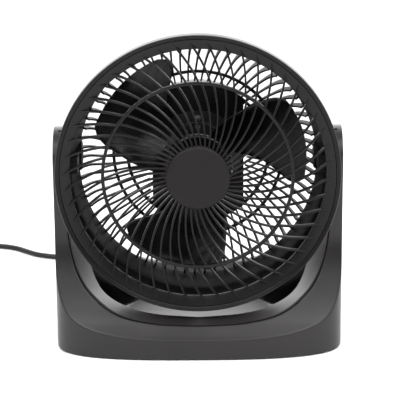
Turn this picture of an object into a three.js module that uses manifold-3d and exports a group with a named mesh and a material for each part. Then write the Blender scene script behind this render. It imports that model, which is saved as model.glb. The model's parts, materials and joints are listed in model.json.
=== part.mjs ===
// Table-top air circulator: a round fan head in a bezel with a swept grille,
// hung between the two arms of a wrap-round base, with a rear basket, motor and cord.
// Millimetres, +Z up, the fan blows towards -Y, floor at z = 0.
import * as THREE from 'three';
import { mergeVertices } from 'three/addons/utils/BufferGeometryUtils.js';
import Module from 'manifold-3d';

const wasm = await Module();
wasm.setup();

// ---- overall sizes
const ringRadius = 147;
const sideMargin = 4.5;
const baseDepth = 160;
const ringClear = 49;
const pivotRise = 6;
const lipSetback = 15.5;
const pivotSetback = 84;
const armThick = 14.5;
const shellWall = 3;
const linerWall = 2.5;
const fit = 0.3;
const shadowGap = 0.4;

// ---- derived places
const baseWidth = 2 * (ringRadius + sideMargin);
const halfWidth = baseWidth / 2;
const ringHeight = ringClear + ringRadius;
const pivotHeight = ringHeight + pivotRise;
const frontY = -baseDepth / 2;
const backY = baseDepth / 2;
const lipY = frontY + lipSetback;
const pivotY = frontY + pivotSetback;
const armInner = halfWidth - armThick;

// ---- grille and bezel
const ribCount = 50;
const ribWidth = 1.9;
const ribDeep = 4.2;
const capRadius = 33;
const capDeep = 8;
const lipWide = 4.5;
const coneWide = 10.4;
const midRingInset = 34.1;
const midRingWide = 3.4;
const ribTwist = 0.272;
const ribPhase = 2.7;
const ribLag = 1.3;
const coneWall = 2.4;
const bezelDeep = 12;
const grilleRadius = ringRadius - lipWide - shadowGap;
const coneInner = grilleRadius - coneWide;
const midRingRadius = coneInner - midRingInset;

// ---- rear basket
const rearRibCount = 52;
const rearRibWidth = 1.7;
const rearRibDeep = 2.6;
const rimInset = 13;
const hoopInset = 43.8;
const hoopWide = 3.4;
const panelInset = 13.2;
const panelHalf = 49;
const panelThick = 3;
const motorSeat = 45;
const basketDeep = 97;
const basketRim = ringRadius - rimInset;
const hoopRadius = basketRim - hoopInset;
const hoopDepth = basketDeep - 5.6;
const panelRadius = hoopRadius - panelInset;

// ---- impeller
const bladeCount = 3;
const hubRadius = 36;
const tipRoom = 18.5;
const bladeThick = 1.8;
const bladeTip = basketRim - tipRoom;
const hubFront = 33;
const hubBack = 74;

// ---- motor pack
const shaftRadius = 4;
const shaftNose = 6;
const plateRadius = 36;
const plateRise = 7;
const motorRadius = 28;
const motorLong = 22;
const windingWide = 5;
const coverEdge = 2;
const coverDeep = 31;
const coverWall = 2.4;
const knobRadius = 15;
const knobLong = 14.4;
const knobInset = 53;
const coverRadius = panelRadius - coverEdge;
const coverBack = basketDeep + coverDeep;
const knobDrop = coverRadius - knobInset;

// ---- base parts
const floorHeight = 33;
const rearSill = 57;
const skirtLift = 1.5;
const armTopRadius = 32;
const frontCorner = 55;
const backCorner = 42;
const stripDeep = 26;
const footRadius = 9;
const plateThick = 2.5;
const pinRadius = 6;
const bossRadius = 17;
const washerRadius = 14;
const washerRoom = 2.2;

// ---- cord: a flat-plug mains lead of about 1.55 m
const cordWidth = 6;
const cordExit = 16;
const reliefReach = 34;
const coilLoops = 5;
const coilRadius = 34;
const coilSlack = 0.7;
const coilCentre = [-306, 341];
const plugWide = 25;
const plugThick = 12.4;
const plugLong = 32;
const bladeReach = 17;

const group = new THREE.Group();

const finishes = {
  shellPlastic: ['#1c1b1d', 0.46, 0],
  headPlastic: ['#1b1a1c', 0.4, 0],
  capPlastic: ['#262527', 0.72, 0],
  bladePlastic: ['#131214', 0.22, 0],
  rubber: ['#161616', 0.85, 0],
  steel: ['#b9bbbf', 0.3, 1],
  zincSteel: ['#9fa2a6', 0.42, 1],
  copper: ['#8a4a26', 0.45, 0.6],
  nylon: ['#d8d6cf', 0.6, 0],
  cordVinyl: ['#171718', 0.55, 0],
  brass: ['#c8ccd0', 0.28, 1],
};

// ---- helpers: geometry to solid and back
function toSolid(geometry) {
  const plain = new THREE.BufferGeometry();
  plain.setAttribute('position', geometry.getAttribute('position').clone());
  const source = geometry.index;
  const indexed = source ? plain.setIndex(source.clone()) : plain;
  const merged = mergeVertices(indexed, 1e-4);
  const pos = merged.getAttribute('position');
  const idx = merged.index.array;
  const kept = [];
  for (let i = 0; i < idx.length; i += 3) {
    const a = idx[i];
    const b = idx[i + 1];
    const c = idx[i + 2];
    if (a !== b && b !== c && c !== a) kept.push(a, b, c);
  }
  let volume = 0;
  const va = new THREE.Vector3();
  const vb = new THREE.Vector3();
  const vc = new THREE.Vector3();
  for (let i = 0; i < kept.length; i += 3) {
    va.fromBufferAttribute(pos, kept[i]);
    vb.fromBufferAttribute(pos, kept[i + 1]);
    vc.fromBufferAttribute(pos, kept[i + 2]);
    volume += va.dot(vb.cross(vc));
  }
  if (volume < 0) {
    for (let i = 0; i < kept.length; i += 3) {
      const swap = kept[i + 1];
      kept[i + 1] = kept[i + 2];
      kept[i + 2] = swap;
    }
  }
  const mesh = new wasm.Mesh({
    numProp: 3,
    vertProperties: new Float32Array(pos.array),
    triVerts: new Uint32Array(kept),
  });
  mesh.merge();
  return new wasm.Manifold(mesh);
}

function toGeometry(solid) {
  const mesh = solid.getMesh();
  const geometry = new THREE.BufferGeometry();
  geometry.setAttribute('position', new THREE.BufferAttribute(new Float32Array(mesh.vertProperties), 3));
  geometry.setIndex(new THREE.BufferAttribute(new Uint32Array(mesh.triVerts), 1));
  geometry.computeVertexNormals();
  return geometry;
}

function joined(solids) {
  let list = solids.slice();
  while (list.length > 1) {
    const next = [];
    for (let i = 0; i < list.length; i += 2) {
      next.push(i + 1 < list.length ? list[i].add(list[i + 1]) : list[i]);
    }
    list = next;
  }
  return list[0];
}

function addPart(name, solid, finish, parent = group) {
  const [color, roughness, metalness] = finishes[finish];
  const material = new THREE.MeshStandardMaterial({ color, roughness, metalness });
  material.name = finish;
  const mesh = new THREE.Mesh(toGeometry(solid), material);
  mesh.name = name;
  parent.add(mesh);
  return mesh;
}

// ---- helpers: basic solids
function revolved(points, segments, phase = 0) {
  // points are [radius, depth behind the lip], turned about the head's axis
  const profile = points.map(([r, u]) => new THREE.Vector2(Math.max(r, 0), u));
  const geometry = new THREE.LatheGeometry(profile, segments, phase);
  geometry.translate(0, lipY, ringHeight);
  return toSolid(geometry);
}

function ringBand(inner, outer, front, back, segments, phase = 0) {
  const loop = [[inner, front], [outer, front], [outer, back], [inner, back], [inner, front]];
  return revolved(loop, segments, phase);
}

function rod(radius, from, to, sides = 32) {
  const start = new THREE.Vector3(...from);
  const end = new THREE.Vector3(...to);
  const length = start.distanceTo(end);
  const geometry = new THREE.CylinderGeometry(radius, radius, length, sides);
  const turn = new THREE.Quaternion();
  turn.setFromUnitVectors(new THREE.Vector3(0, 1, 0), end.clone().sub(start).normalize());
  geometry.applyQuaternion(turn);
  geometry.translate((start.x + end.x) / 2, (start.y + end.y) / 2, (start.z + end.z) / 2);
  return toSolid(geometry);
}

function block(sx, sy, sz, x, y, z) {
  const geometry = new THREE.BoxGeometry(sx, sy, sz);
  geometry.translate(x, y, z);
  return toSolid(geometry);
}

function headPoint(radius, angle, depth) {
  return [radius * Math.cos(angle), lipY + depth, ringHeight + radius * Math.sin(angle)];
}

function headSlab(half, front, back) {
  // everything within half of the head's upright middle plane, between two depths
  return block(2 * half, back - front, 4 * ringRadius, 0, lipY + (front + back) / 2, ringHeight);
}

function copiesRound(solid, count) {
  const list = [];
  for (let i = 0; i < count; i += 1) {
    const turned = solid
      .translate([0, -lipY, -ringHeight])
      .rotate([0, (-360 * i) / count, 0])
      .translate([0, lipY, ringHeight]);
    list.push(turned);
  }
  return list;
}

function pivotRod(side, radius, from, to, sides) {
  return rod(radius, [side * from, pivotY, pivotHeight], [side * to, pivotY, pivotHeight], sides);
}

// a closed ring of bars: stations run along a bar, and a station marked full carries
// the ring between it and the next one; back is the point behind the front point
function barRing(stations, count) {
  const vertices = [];
  const faces = [];
  const index = (k, j, layer) => (k * count * 2 + (j % (count * 2))) * 2 + layer;
  stations.forEach((st) => {
    for (let j = 0; j < count * 2; j += 1) {
      const spot = (2 * Math.PI * Math.floor(j / 2)) / count + THREE.MathUtils.degToRad(st.turn || 0);
      const halfAngle = st.wide / 2 / st.front[0];
      const angle = spot + (j % 2 === 0 ? -halfAngle : halfAngle);
      [st.front, st.back].forEach(([r, u]) => vertices.push(...headPoint(r, angle, u)));
    }
  });
  const quad = (p, q, r, t) => faces.push(p, q, r, p, r, t);
  const solidCell = (k, j) => k >= 0 && k < stations.length - 1 && (j % 2 === 0 || stations[k].full);
  for (let k = 0; k < stations.length - 1; k += 1) {
    for (let j = 0; j < count * 2; j += 1) {
      if (!solidCell(k, j)) continue;
      const n = (j + 1) % (count * 2);
      const p = (j + count * 2 - 1) % (count * 2);
      quad(index(k, j, 0), index(k, n, 0), index(k + 1, n, 0), index(k + 1, j, 0));
      quad(index(k, j, 1), index(k + 1, j, 1), index(k + 1, n, 1), index(k, n, 1));
      if (!solidCell(k, n)) quad(index(k, n, 0), index(k, n, 1), index(k + 1, n, 1), index(k + 1, n, 0));
      if (!solidCell(k, p)) quad(index(k, j, 0), index(k + 1, j, 0), index(k + 1, j, 1), index(k, j, 1));
      if (!solidCell(k - 1, j)) quad(index(k, j, 0), index(k, j, 1), index(k, n, 1), index(k, n, 0));
      if (!solidCell(k + 1, j)) {
        quad(index(k + 1, j, 0), index(k + 1, n, 0), index(k + 1, n, 1), index(k + 1, j, 1));
      }
    }
  }
  const geometry = new THREE.BufferGeometry();
  geometry.setAttribute('position', new THREE.BufferAttribute(new Float32Array(vertices), 3));
  geometry.setIndex(faces);
  return toSolid(geometry);
}

// ---- head: bezel with the swept grille
const hubFace = -3.9;
const lipFlare = 3;
const hubStep = 4.2;
const ringStep = 0.4;
const coneStep = 3.4;
function grilleDepth(r) {
  if (r < midRingRadius) {
    return -hubStep + ((hubStep + ringStep) * (r - capRadius)) / (midRingRadius - capRadius);
  }
  return ringStep + ((coneStep - ringStep) * (r - midRingRadius)) / (coneInner - midRingRadius);
}

function ribStation(r, full = false, forward = 0) {
  const lag = r < midRingRadius ? -ribLag : 0;
  const slope = r * THREE.MathUtils.degToRad(ribTwist);
  const u = grilleDepth(r) - forward;
  return {
    front: [r, u],
    back: [r, u + ribDeep],
    wide: ribWidth * Math.hypot(1, slope),
    turn: ribPhase + lag + ribTwist * (r - midRingRadius),
    full,
  };
}

function makeFrontGrille() {
  const rimTurn = ribPhase + ribTwist * (coneInner - midRingRadius);
  const rim = (front, back) => ({ front, back, wide: ribWidth * 1.2, turn: rimTurn, full: true });
  const hubBack = grilleDepth(capRadius) + 5.4;
  const hub = (r, full) => ({ ...ribStation(r, full), front: [r, hubFace], back: [r, hubBack] });
  const stations = [
    hub(capRadius - 5, true),
    hub(capRadius - 0.6, false),
    ribStation((capRadius + midRingRadius) / 2),
    ribStation(midRingRadius - midRingWide / 2, true, 0.7),
    ribStation(midRingRadius + midRingWide / 2, false, 0.7),
    rim([coneInner, coneStep + lipFlare], [coneInner, coneStep + lipFlare + coneWall + 1]),
    rim([grilleRadius, lipFlare + 0.2], [grilleRadius - coneWall, lipFlare + coneWall + 1.2]),
    { ...rim([grilleRadius, bezelDeep], [grilleRadius - coneWall, bezelDeep]), full: false },
  ];
  return barRing(stations, ribCount);
}
addPart('front_grille', makeFrontGrille(), 'headPlastic');

// the lip ring closes round the grille's edge with a narrow shadow groove
function makeLipRing() {
  const inner = grilleRadius + shadowGap;
  const outer = ringRadius;
  const loop = [
    [inner, lipFlare],
    [inner + lipWide * 0.2, 0.9],
    [inner + lipWide * 0.53, 0],
    [outer - 0.7, 0.5],
    [outer, 2],
    [outer, bezelDeep],
    [inner, bezelDeep],
    [inner, lipFlare],
  ];
  return revolved(loop, 60);
}
addPart('lip_ring', makeLipRing(), 'headPlastic');

const capFront = -capDeep;
addPart(
  'grille_cap',
  revolved(
    [
      [0, capFront],
      [capRadius * 0.73, capFront + 0.3],
      [capRadius - 2, capFront + 1.2],
      [capRadius, capFront + 2.4],
      [capRadius, hubFace - fit],
      [0, hubFace - fit],
    ],
    40,
  ),
  'capPlastic',
);

// ---- head: rear housing with its basket of meridian ribs
function makeRearHousing() {
  const rib = (front, share, full = false) => {
    const [nr, nu] = share;
    return {
      front,
      back: [front[0] + nr * rearRibDeep, front[1] + nu * rearRibDeep],
      wide: rearRibWidth * (0.7 + (0.3 * front[0]) / basketRim),
      full,
    };
  };
  const rim = basketRim;
  const seam = bezelDeep + fit;
  const stations = [
    { front: [ringRadius - fit, seam], back: [ringRadius - 3.4, seam], wide: 2.6, full: true },
    { front: [ringRadius - 3.4, seam + 8], back: [ringRadius - 6.8, seam + 7], wide: 2.6, full: true },
    { front: [rim + 0.8, seam + 18], back: [rim - 2, seam + 16.6], wide: 2.4 },
    rib([rim - 3, hoopDepth - 41.4], [-1, -0.1]),
    rib([rim - 7, hoopDepth - 25.4], [-0.92, -0.4]),
    rib([rim - 18, hoopDepth - 9], [-0.66, -0.75]),
    rib([hoopRadius + hoopWide / 2, hoopDepth], [-0.2, -0.98], true),
    rib([hoopRadius - hoopWide / 2, hoopDepth + 0.6], [-0.15, -0.98]),
    rib([panelRadius - 1, basketDeep - 0.2], [0, -1]),
    rib([motorSeat + 1, basketDeep - 0.2], [0, -1]),
  ];
  const basket = barRing(stations, rearRibCount);
  const panelFront = basketDeep - panelThick;
  const disc = ringBand(motorSeat - 10, panelRadius, panelFront, basketDeep, 52);
  const panel = disc.intersect(headSlab(panelHalf, panelFront - 1, basketDeep + 1));
  const outerX = armInner - washerRoom;
  const brackets = [-1, 1].map((s) => {
    const webLong = pivotY - lipY - 22;
    const webY = lipY + 22 + webLong / 2;
    const boss = pivotRod(s, bossRadius, rim - 12, outerX, 14);
    const web = block(9, webLong, bossRadius, s * (rim - 5.5), webY, pivotHeight);
    const bore = pivotRod(s, pinRadius + fit, outerX - 7, outerX + 2, 12);
    return boss.add(web).subtract(bore);
  });
  return joined([basket, panel, ...brackets]);
}

addPart('rear_housing', makeRearHousing(), 'headPlastic');

// ---- impeller: cup hub and three broad swept blades
const bladeRows = [
  // share of the way from hub to tip, leading and trailing angle, their depths behind the hub's front
  [0, 12, 72, 38, 4],
  [0.188, 4, 64, 40, 4],
  [0.387, -2, 57, 42, 4],
  [0.585, -9, 51, 43, 4.5],
  [0.783, -15, 46.5, 44, 5],
  [0.92, -15, 42.5, 42, 6],
  [1, -9, 38, 38, 8],
];
const bladeRoot = hubRadius - 1.2;

function makeBlade() {
  const rows = bladeRows.length - 1;
  const cols = 5;
  const geometry = new THREE.BoxGeometry(1, 1, 1, rows, cols, 1);
  const pos = geometry.getAttribute('position');
  for (let i = 0; i < pos.count; i += 1) {
    const k = Math.round((pos.getX(i) + 0.5) * rows);
    const f = pos.getY(i) + 0.5;
    const side = pos.getZ(i);
    const [share, lead, trail, leadDeep, trailDeep] = bladeRows[k];
    const r = bladeRoot + (bladeTip - bladeRoot) * share;
    const angle = THREE.MathUtils.degToRad(lead + (trail - lead) * f);
    const camber = Math.sin(Math.PI * f) * (5 + (2 * k) / rows);
    const thin = 0.55 + 0.45 * Math.sin(Math.PI * f);
    const lean = leadDeep + (trailDeep - leadDeep) * f + camber;
    const u = hubFront + lean + side * bladeThick * thin * 1.25;
    const [x, y, z] = headPoint(r, angle, u);
    pos.setXYZ(i, x, y, z);
  }
  return toSolid(geometry);
}

function makeImpeller() {
  const cup = revolved(
    [
      [shaftRadius + fit, hubFront],
      [hubRadius - 3, hubFront],
      [hubRadius, hubFront + 3],
      [hubRadius, hubBack],
      [hubRadius - 2.2, hubBack],
      [hubRadius - 2.2, hubFront + 4],
      [shaftRadius + 4, hubFront + 4],
      [shaftRadius + 4, hubBack - 4],
      [shaftRadius + fit, hubBack - 4],
      [shaftRadius + fit, hubFront],
    ],
    27,
  );
  const coreRadius = hubRadius - 2.4;
  const core = revolved([[0, hubFront - 3], [coreRadius, hubFront - 3], [coreRadius, 96], [0, 96]], 27);
  const blades = copiesRound(makeBlade().subtract(core), bladeCount);
  return joined([cup, ...blades]);
}

addPart('impeller', makeImpeller(), 'bladePlastic');

const nutRadius = 11;
const nutLong = 11;
const shaftTip = hubFront - shaftNose;
function makeNut() {
  const nut = revolved(
    [
      [0, hubFront - nutLong],
      [nutRadius - 6, hubFront - nutLong + 0.4],
      [nutRadius - 2.5, hubFront - nutLong + 3],
      [nutRadius, hubFront - fit],
      [0, hubFront - fit],
    ],
    24,
  );
  const boreRadius = shaftRadius + fit;
  const boreEnd = shaftTip - fit - 0.1;
  const bore = revolved([[0, boreEnd], [boreRadius, boreEnd], [boreRadius, 40], [0, 40]], 12);
  const grips = [];
  for (let i = 0; i < 6; i += 1) {
    const [x, , z] = headPoint(nutRadius + 1, (i * Math.PI) / 3, 0);
    grips.push(rod(2.6, [x, lipY + hubFront - nutLong - 2, z], [x, lipY + hubFront - 2, z], 8));
  }
  return nut.subtract(bore).subtract(joined(grips));
}

addPart('impeller_nut', makeNut(), 'bladePlastic');

// ---- motor pack on the centre of the basket
const plateThickness = 2;
const plateFront = basketDeep - panelThick - fit - plateThickness;
addPart(
  'motor_shaft',
  rod(shaftRadius, headPoint(0, 0, shaftTip), headPoint(0, 0, plateFront - 5), 16),
  'steel',
);

addPart(
  'motor_plate',
  revolved(
    [
      [shaftRadius + 6, plateFront - plateRise],
      [plateRadius - 6, plateFront - plateRise],
      [plateRadius - 2, plateFront],
      [motorSeat + 2, plateFront],
      [motorSeat + 2, plateFront + plateThickness],
      [plateRadius - 3.4, plateFront + plateThickness],
      [plateRadius - 7.2, plateFront - plateRise + plateThickness],
      [shaftRadius + 6, plateFront - plateRise + plateThickness],
      [shaftRadius + 6, plateFront - plateRise],
    ],
    30,
  ),
  'zincSteel',
);

const motorFront = plateFront - plateRise + plateThickness + fit;
const windingFront = motorFront + motorLong * 0.43;
addPart(
  'motor_body',
  revolved(
    [
      [0, motorFront],
      [motorRadius - 8, motorFront],
      [motorRadius - 3, motorFront + motorLong * 0.23],
      [motorRadius, motorFront + motorLong * 0.41],
      [motorRadius, motorFront + motorLong * 0.82],
      [motorRadius - 6, motorFront + motorLong],
      [0, motorFront + motorLong],
    ],
    24,
  ),
  'zincSteel',
);
const windingInner = motorRadius + fit;
const windingOuter = motorRadius + windingWide;
addPart(
  'motor_winding',
  ringBand(windingInner, windingOuter, windingFront, windingFront + motorLong * 0.34, 24),
  'copper',
);

const coverLip = basketDeep + fit;
const stemRadius = 4.4;
const ventRise = 30;
const ventGap = 5.4;
function coverForm(inset, front) {
  const r = coverRadius - inset;
  const back = coverBack - inset;
  const corner = 9 - inset;
  const profile = [[0, front], [r, front], [r, back - corner], [r - corner * 0.3, back - corner * 0.35]];
  const drum = revolved([...profile, [r - corner, back], [0, back]], 44);
  const side = coverRadius - panelRadius + panelHalf - inset;
  const flats = headSlab(side, front - 1, back - corner * 0.6);
  const crown = headSlab(side - corner * 0.6, front - 1, back + 1);
  return drum.intersect(flats.add(crown));
}

function makeCover() {
  const bowl = coverForm(0, coverLip).subtract(coverForm(coverWall, coverLip - 1));
  const slots = [];
  for (let i = -2; i <= 2; i += 1) {
    const wide = coverRadius * 0.94 - Math.abs(i) * 3;
    slots.push(block(wide, 12, 2.6, 0, lipY + coverBack, ringHeight + ventRise + i * ventGap));
  }
  const holeFrom = headPoint(knobDrop, -Math.PI / 2, coverBack - 10);
  const holeTo = headPoint(knobDrop, -Math.PI / 2, coverBack + 6);
  return bowl.subtract(joined(slots)).subtract(rod(stemRadius + 2 * fit, holeFrom, holeTo, 16));
}
addPart('motor_cover', makeCover(), 'headPlastic');

function makeKnob() {
  const body = revolved(
    [
      [0, coverBack + fit],
      [knobRadius, coverBack + fit],
      [knobRadius, coverBack + knobLong * 0.35],
      [knobRadius - 1.5, coverBack + knobLong - 1.4],
      [knobRadius - 4, coverBack + knobLong],
      [0, coverBack + knobLong],
    ],
    24,
  );
  const grips = [];
  for (let i = 0; i < 8; i += 1) {
    const [x, , z] = headPoint(knobRadius + 1, ((i + 0.5) * Math.PI) / 4, 0);
    grips.push(rod(2.4, [x, lipY + coverBack + 4, z], [x, lipY + coverBack + 20, z], 6));
  }
  const markY = lipY + coverBack + knobLong;
  const mark = block(1.6, 3, knobRadius - 2, 0, markY, ringHeight + knobRadius / 2);
  const stem = rod(stemRadius, headPoint(0, 0, coverBack - 6.2), headPoint(0, 0, coverBack + 1), 12);
  return body.subtract(joined(grips)).subtract(mark).add(stem).translate([0, 0, -knobDrop]);
}
addPart('speed_knob', makeKnob(), 'capPlastic');
addPart(
  'switch_body',
  block(24, 4.2, 20, 0, lipY + coverBack - 6.2 - fit - 2.1, ringHeight - knobDrop),
  'nylon',
);

for (let i = 0; i < 3; i += 1) {
  const angle = Math.PI / 2 + (i * 2 * Math.PI) / 3;
  const seat = headPoint(motorSeat - 6, angle, plateFront - fit);
  const top = headPoint(motorSeat - 6, angle, plateFront - fit - 2.4);
  addPart(`motor_screw_${i + 1}`, rod(3.4, top, seat, 10), 'steel');
}

// ---- base: outline in plan, cut line at the side, and the cradle opening.
// The lines below are drawn for an arm gap of 137, a depth of 160, an arm from 52 to 116 behind
// the front, a floor at 33, a sill at 57 and a pivot at 202, and are stretched to the sizes above.
const armFront = pivotSetback - armTopRadius;
const armBack = pivotSetback + armTopRadius;
const allHigh = pivotHeight + armTopRadius + 66;
const across = (x) => (x * armInner) / 137;
const deepFront = (d) => (d * armFront) / 52;
const deepBack = (d) => armBack + ((d - 116) * (baseDepth - armBack)) / 44;
const raised = (z) => {
  if (z <= 33) return (z * floorHeight) / 33;
  return floorHeight + ((z - 33) * (pivotHeight - floorHeight)) / 169;
};
const raisedSill = (z) => rearSill + ((z - 57) * (pivotHeight - rearSill)) / 145;

function planOutline(inset) {
  const half = halfWidth - inset;
  const points = [];
  const corner = (centre, reach, sign) => {
    for (let i = 0; i <= 8; i += 1) {
      const t = (i / 8) * (Math.PI / 2);
      const x = half * Math.cos(t) ** (2 / 2.6);
      const y = centre + sign * (reach - inset) * Math.sin(t) ** (2 / 2.6);
      points.push([x, y]);
    }
  };
  corner(frontY + frontCorner, frontCorner, -1);
  const front = points.splice(0).reverse();
  corner(backY - backCorner, backCorner, 1);
  const back = points.splice(0);
  const right = [...front, ...back];
  const left = right
    .filter(([x]) => x > 1e-6)
    .map(([x, y]) => [-x, y])
    .reverse();
  return [...right, ...left];
}

function planPrism(inset, low, high) {
  const shape = new THREE.Shape(planOutline(inset).map(([x, y]) => new THREE.Vector2(x, y)));
  const geometry = new THREE.ExtrudeGeometry(shape, { depth: high - low, bevelEnabled: false });
  geometry.translate(0, 0, low);
  return toSolid(geometry);
}

const bevelLine = [
  [-4, 20.5],
  [0, 22.5],
  [4, 25.7],
  [8, 29.4],
  [12, 33.2],
  [16, 37.3],
  [21.6, 44.4],
  [28, 54.8],
  [33, 65],
  [37.3, 74.7],
  [42, 86],
  [46.5, 99],
  [49.8, 113],
  [51.4, 128],
  [52, 146],
].map(([d, z]) => [deepFront(d), raised(z)]);

const rearLine = [
  [116.5, 180],
  [118, 160],
  [121, 138],
  [126, 116],
  [133, 97],
  [142, 82],
  [152, 71],
  [164, 62],
].map(([d, z]) => [deepBack(d), raisedSill(z)]);

function sidePrism(inset) {
  const points = [];
  const bottom = -20;
  points.push([frontY - 20, bottom]);
  points.push([frontY - 20, bevelLine[0][1] - 8]);
  bevelLine.forEach(([d, z], i) => {
    const next = bevelLine[Math.min(i + 1, bevelLine.length - 1)];
    const last = bevelLine[Math.max(i - 1, 0)];
    const run = Math.hypot(next[0] - last[0], next[1] - last[1]);
    const nx = (next[1] - last[1]) / run;
    const nz = -(next[0] - last[0]) / run;
    points.push([frontY + d + nx * inset, z + nz * inset]);
  });
  for (let i = 0; i <= 14; i += 1) {
    const t = Math.PI - (i / 14) * Math.PI;
    const reach = armTopRadius - inset;
    points.push([pivotY + reach * Math.cos(t), pivotHeight + reach * Math.sin(t)]);
  }
  rearLine.forEach(([d, z]) => points.push([frontY + d - inset, z - inset * 0.6]));
  points.push([backY + 20, rearLine[rearLine.length - 1][1] - inset]);
  points.push([backY + 20, bottom]);
  const shape = new THREE.Shape(points.map(([y, z]) => new THREE.Vector2(y, z)));
  const geometry = new THREE.ExtrudeGeometry(shape, { depth: baseWidth + 40, bevelEnabled: false });
  geometry.rotateX(Math.PI / 2);
  geometry.rotateZ(Math.PI / 2);
  geometry.translate(-halfWidth - 20, 0, 0);
  return toSolid(geometry);
}

// half sections of the opening, from the middle of the sill to the arm: [x, z]
const mouthEdge = [
  [0, 34.3], [18, 34.6], [40, 35.6], [61.6, 38.5], [77.8, 42.3], [94, 49.8], [109.3, 61.4],
  [119, 72.3], [126.6, 86.5], [132, 105], [135, 124], [136.6, 146], [137, 172], [137, 202], [137, 320],
].map(([x, z]) => [across(x), raised(z)]);
const mouthBack = [
  13.5, 13.8, 14.7, 17, 19.8, 24.7, 31.2, 36.4, 42.2, 48, 51.6, 53, 53, 53, 53,
].map(deepFront);
const innerEdge = [
  [0, 33.2], [18, 33.6], [41, 35.4], [62.5, 39.6], [75, 43.6], [88.6, 48.6], [101.4, 57.5],
  [109.6, 69.5], [115, 83], [121, 103], [128, 126], [134, 148], [137, 172], [137, 202], [137, 320],
].map(([x, z]) => [across(x), raised(z)]);
const pocketFront = [
  [0, 33], [18, 33], [41, 33], [62, 33], [77, 33], [88, 33], [95, 33],
  [108, 46], [119, 66], [127, 92], [132, 120], [135.5, 146], [137, 172], [137, 202], [137, 320],
].map(([x, z]) => [across(x), raised(z)]);
const pocketBack = [
  [0, 33], [13, 33], [29, 33], [44, 33], [55, 33], [64, 33], [71, 33],
  [85, 45], [99, 63], [113, 87], [125, 116], [133, 144], [137, 172], [137, 202], [137, 320],
].map(([x, z]) => [across(x), raised(z)]);
const rearEdge = [
  [0, 57], [16, 57], [34, 57.3], [50, 59], [62, 61.8], [72, 65.6], [80, 70],
  [93, 81.5], [104, 94.5], [114, 107], [123, 122], [131, 144], [135, 172], [137, 202], [137, 320],
].map(([x, z]) => [across(x), raisedSill(z)]);

function shiftedOut(half, grow) {
  return half.map(([x, z], i) => {
    const a = half[Math.max(i - 1, 0)];
    const b = half[Math.min(i + 1, half.length - 1)];
    const run = Math.hypot(b[0] - a[0], b[1] - a[1]);
    const nx = (b[1] - a[1]) / run;
    const nz = -(b[0] - a[0]) / run;
    return [x + nx * grow, z + nz * grow];
  });
}

function cradleVoid(grow) {
  const strip = mouthEdge.map((p, i) => {
    const back = mouthBack[i] + stripDeep;
    const reach = (-10 - mouthBack[i]) / stripDeep;
    const q = innerEdge[i];
    return {
      front: [p[0] + (q[0] - p[0]) * reach * 0.6, p[1] + (q[1] - p[1]) * reach],
      back,
    };
  });
  const rows = [
    { half: shiftedOut(strip.map((s) => s.front), grow), d: () => -10 },
    { half: shiftedOut(innerEdge, grow), d: (i) => strip[i].back - grow },
    { half: shiftedOut(pocketFront, grow), d: (i) => strip[i].back + 1.4 - grow },
    { half: shiftedOut(pocketBack, grow), d: (i) => pivotSetback + 17 + Math.min(i, 6) * 0.01 },
    { half: shiftedOut(rearEdge, grow), d: () => baseDepth - 9 },
    { half: shiftedOut(rearEdge, grow), d: () => baseDepth + 10 },
  ];
  const cols = mouthEdge.length - 1;
  const halfVoid = (sign) => {
    const geometry = new THREE.BoxGeometry(1, 1, 1, cols, rows.length - 1, 1);
    const pos = geometry.getAttribute('position');
    for (let i = 0; i < pos.count; i += 1) {
      const k = Math.round((pos.getX(i) + 0.5) * cols);
      const row = rows[Math.round((pos.getY(i) + 0.5) * (rows.length - 1))];
      const y = frontY + row.d(k);
      const [x, z] = row.half[k];
      const reach = k === 0 ? -1 : x;
      const roof = k === 0 ? -1 : ((armInner + grow) * k) / cols;
      if (pos.getZ(i) > 0) pos.setXYZ(i, sign * roof, y, allHigh + 80);
      else pos.setXYZ(i, sign * reach, y, z);
    }
    return toSolid(geometry);
  };
  return halfVoid(1).add(halfVoid(-1));
}

const reliefNeck = 5.9;
const outerForm = planPrism(0, skirtLift, allHigh).intersect(sidePrism(0));
const innerForm = planPrism(shellWall, -5, allHigh).intersect(sidePrism(shellWall));
const openCradle = cradleVoid(0);

function makeShell() {
  const cut = cradleVoid(linerWall + shadowGap);
  const cordHole = rod(reliefNeck + 2 * fit, [0, backY - 8, cordExit], [0, backY + 8, cordExit], 16);
  return outerForm.subtract(innerForm).subtract(cut).subtract(cordHole);
}

function makeLiner() {
  const trim = planPrism(1, 8, allHigh).intersect(sidePrism(1));
  const skin = cradleVoid(linerWall).subtract(openCradle).intersect(trim);
  const holes = [-1, 1].map((s) => pivotRod(s, pinRadius + fit, armInner - 8, armInner + 8, 16));
  return skin.subtract(joined(holes));
}

addPart('base_shell', makeShell(), 'shellPlastic');
addPart('cradle_liner', makeLiner(), 'shellPlastic');

// ---- pivots in the arms
for (const [s, side] of [[-1, 'left'], [1, 'right']]) {
  const disc = pivotRod(s, washerRadius, armInner - washerRoom + fit, armInner - fit, 16);
  const bore = pivotRod(s, pinRadius + fit, armInner - 8, armInner + 8, 12);
  addPart(`friction_washer_${side}`, disc.subtract(bore), 'nylon');
  const shank = pivotRod(s, pinRadius, armInner - 8.6, armInner + 5, 12);
  const head = pivotRod(s, pinRadius + 5, armInner + linerWall + fit, armInner + 6.4, 16);
  addPart(`pivot_pin_${side}`, shank.add(head), 'steel');
}

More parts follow.
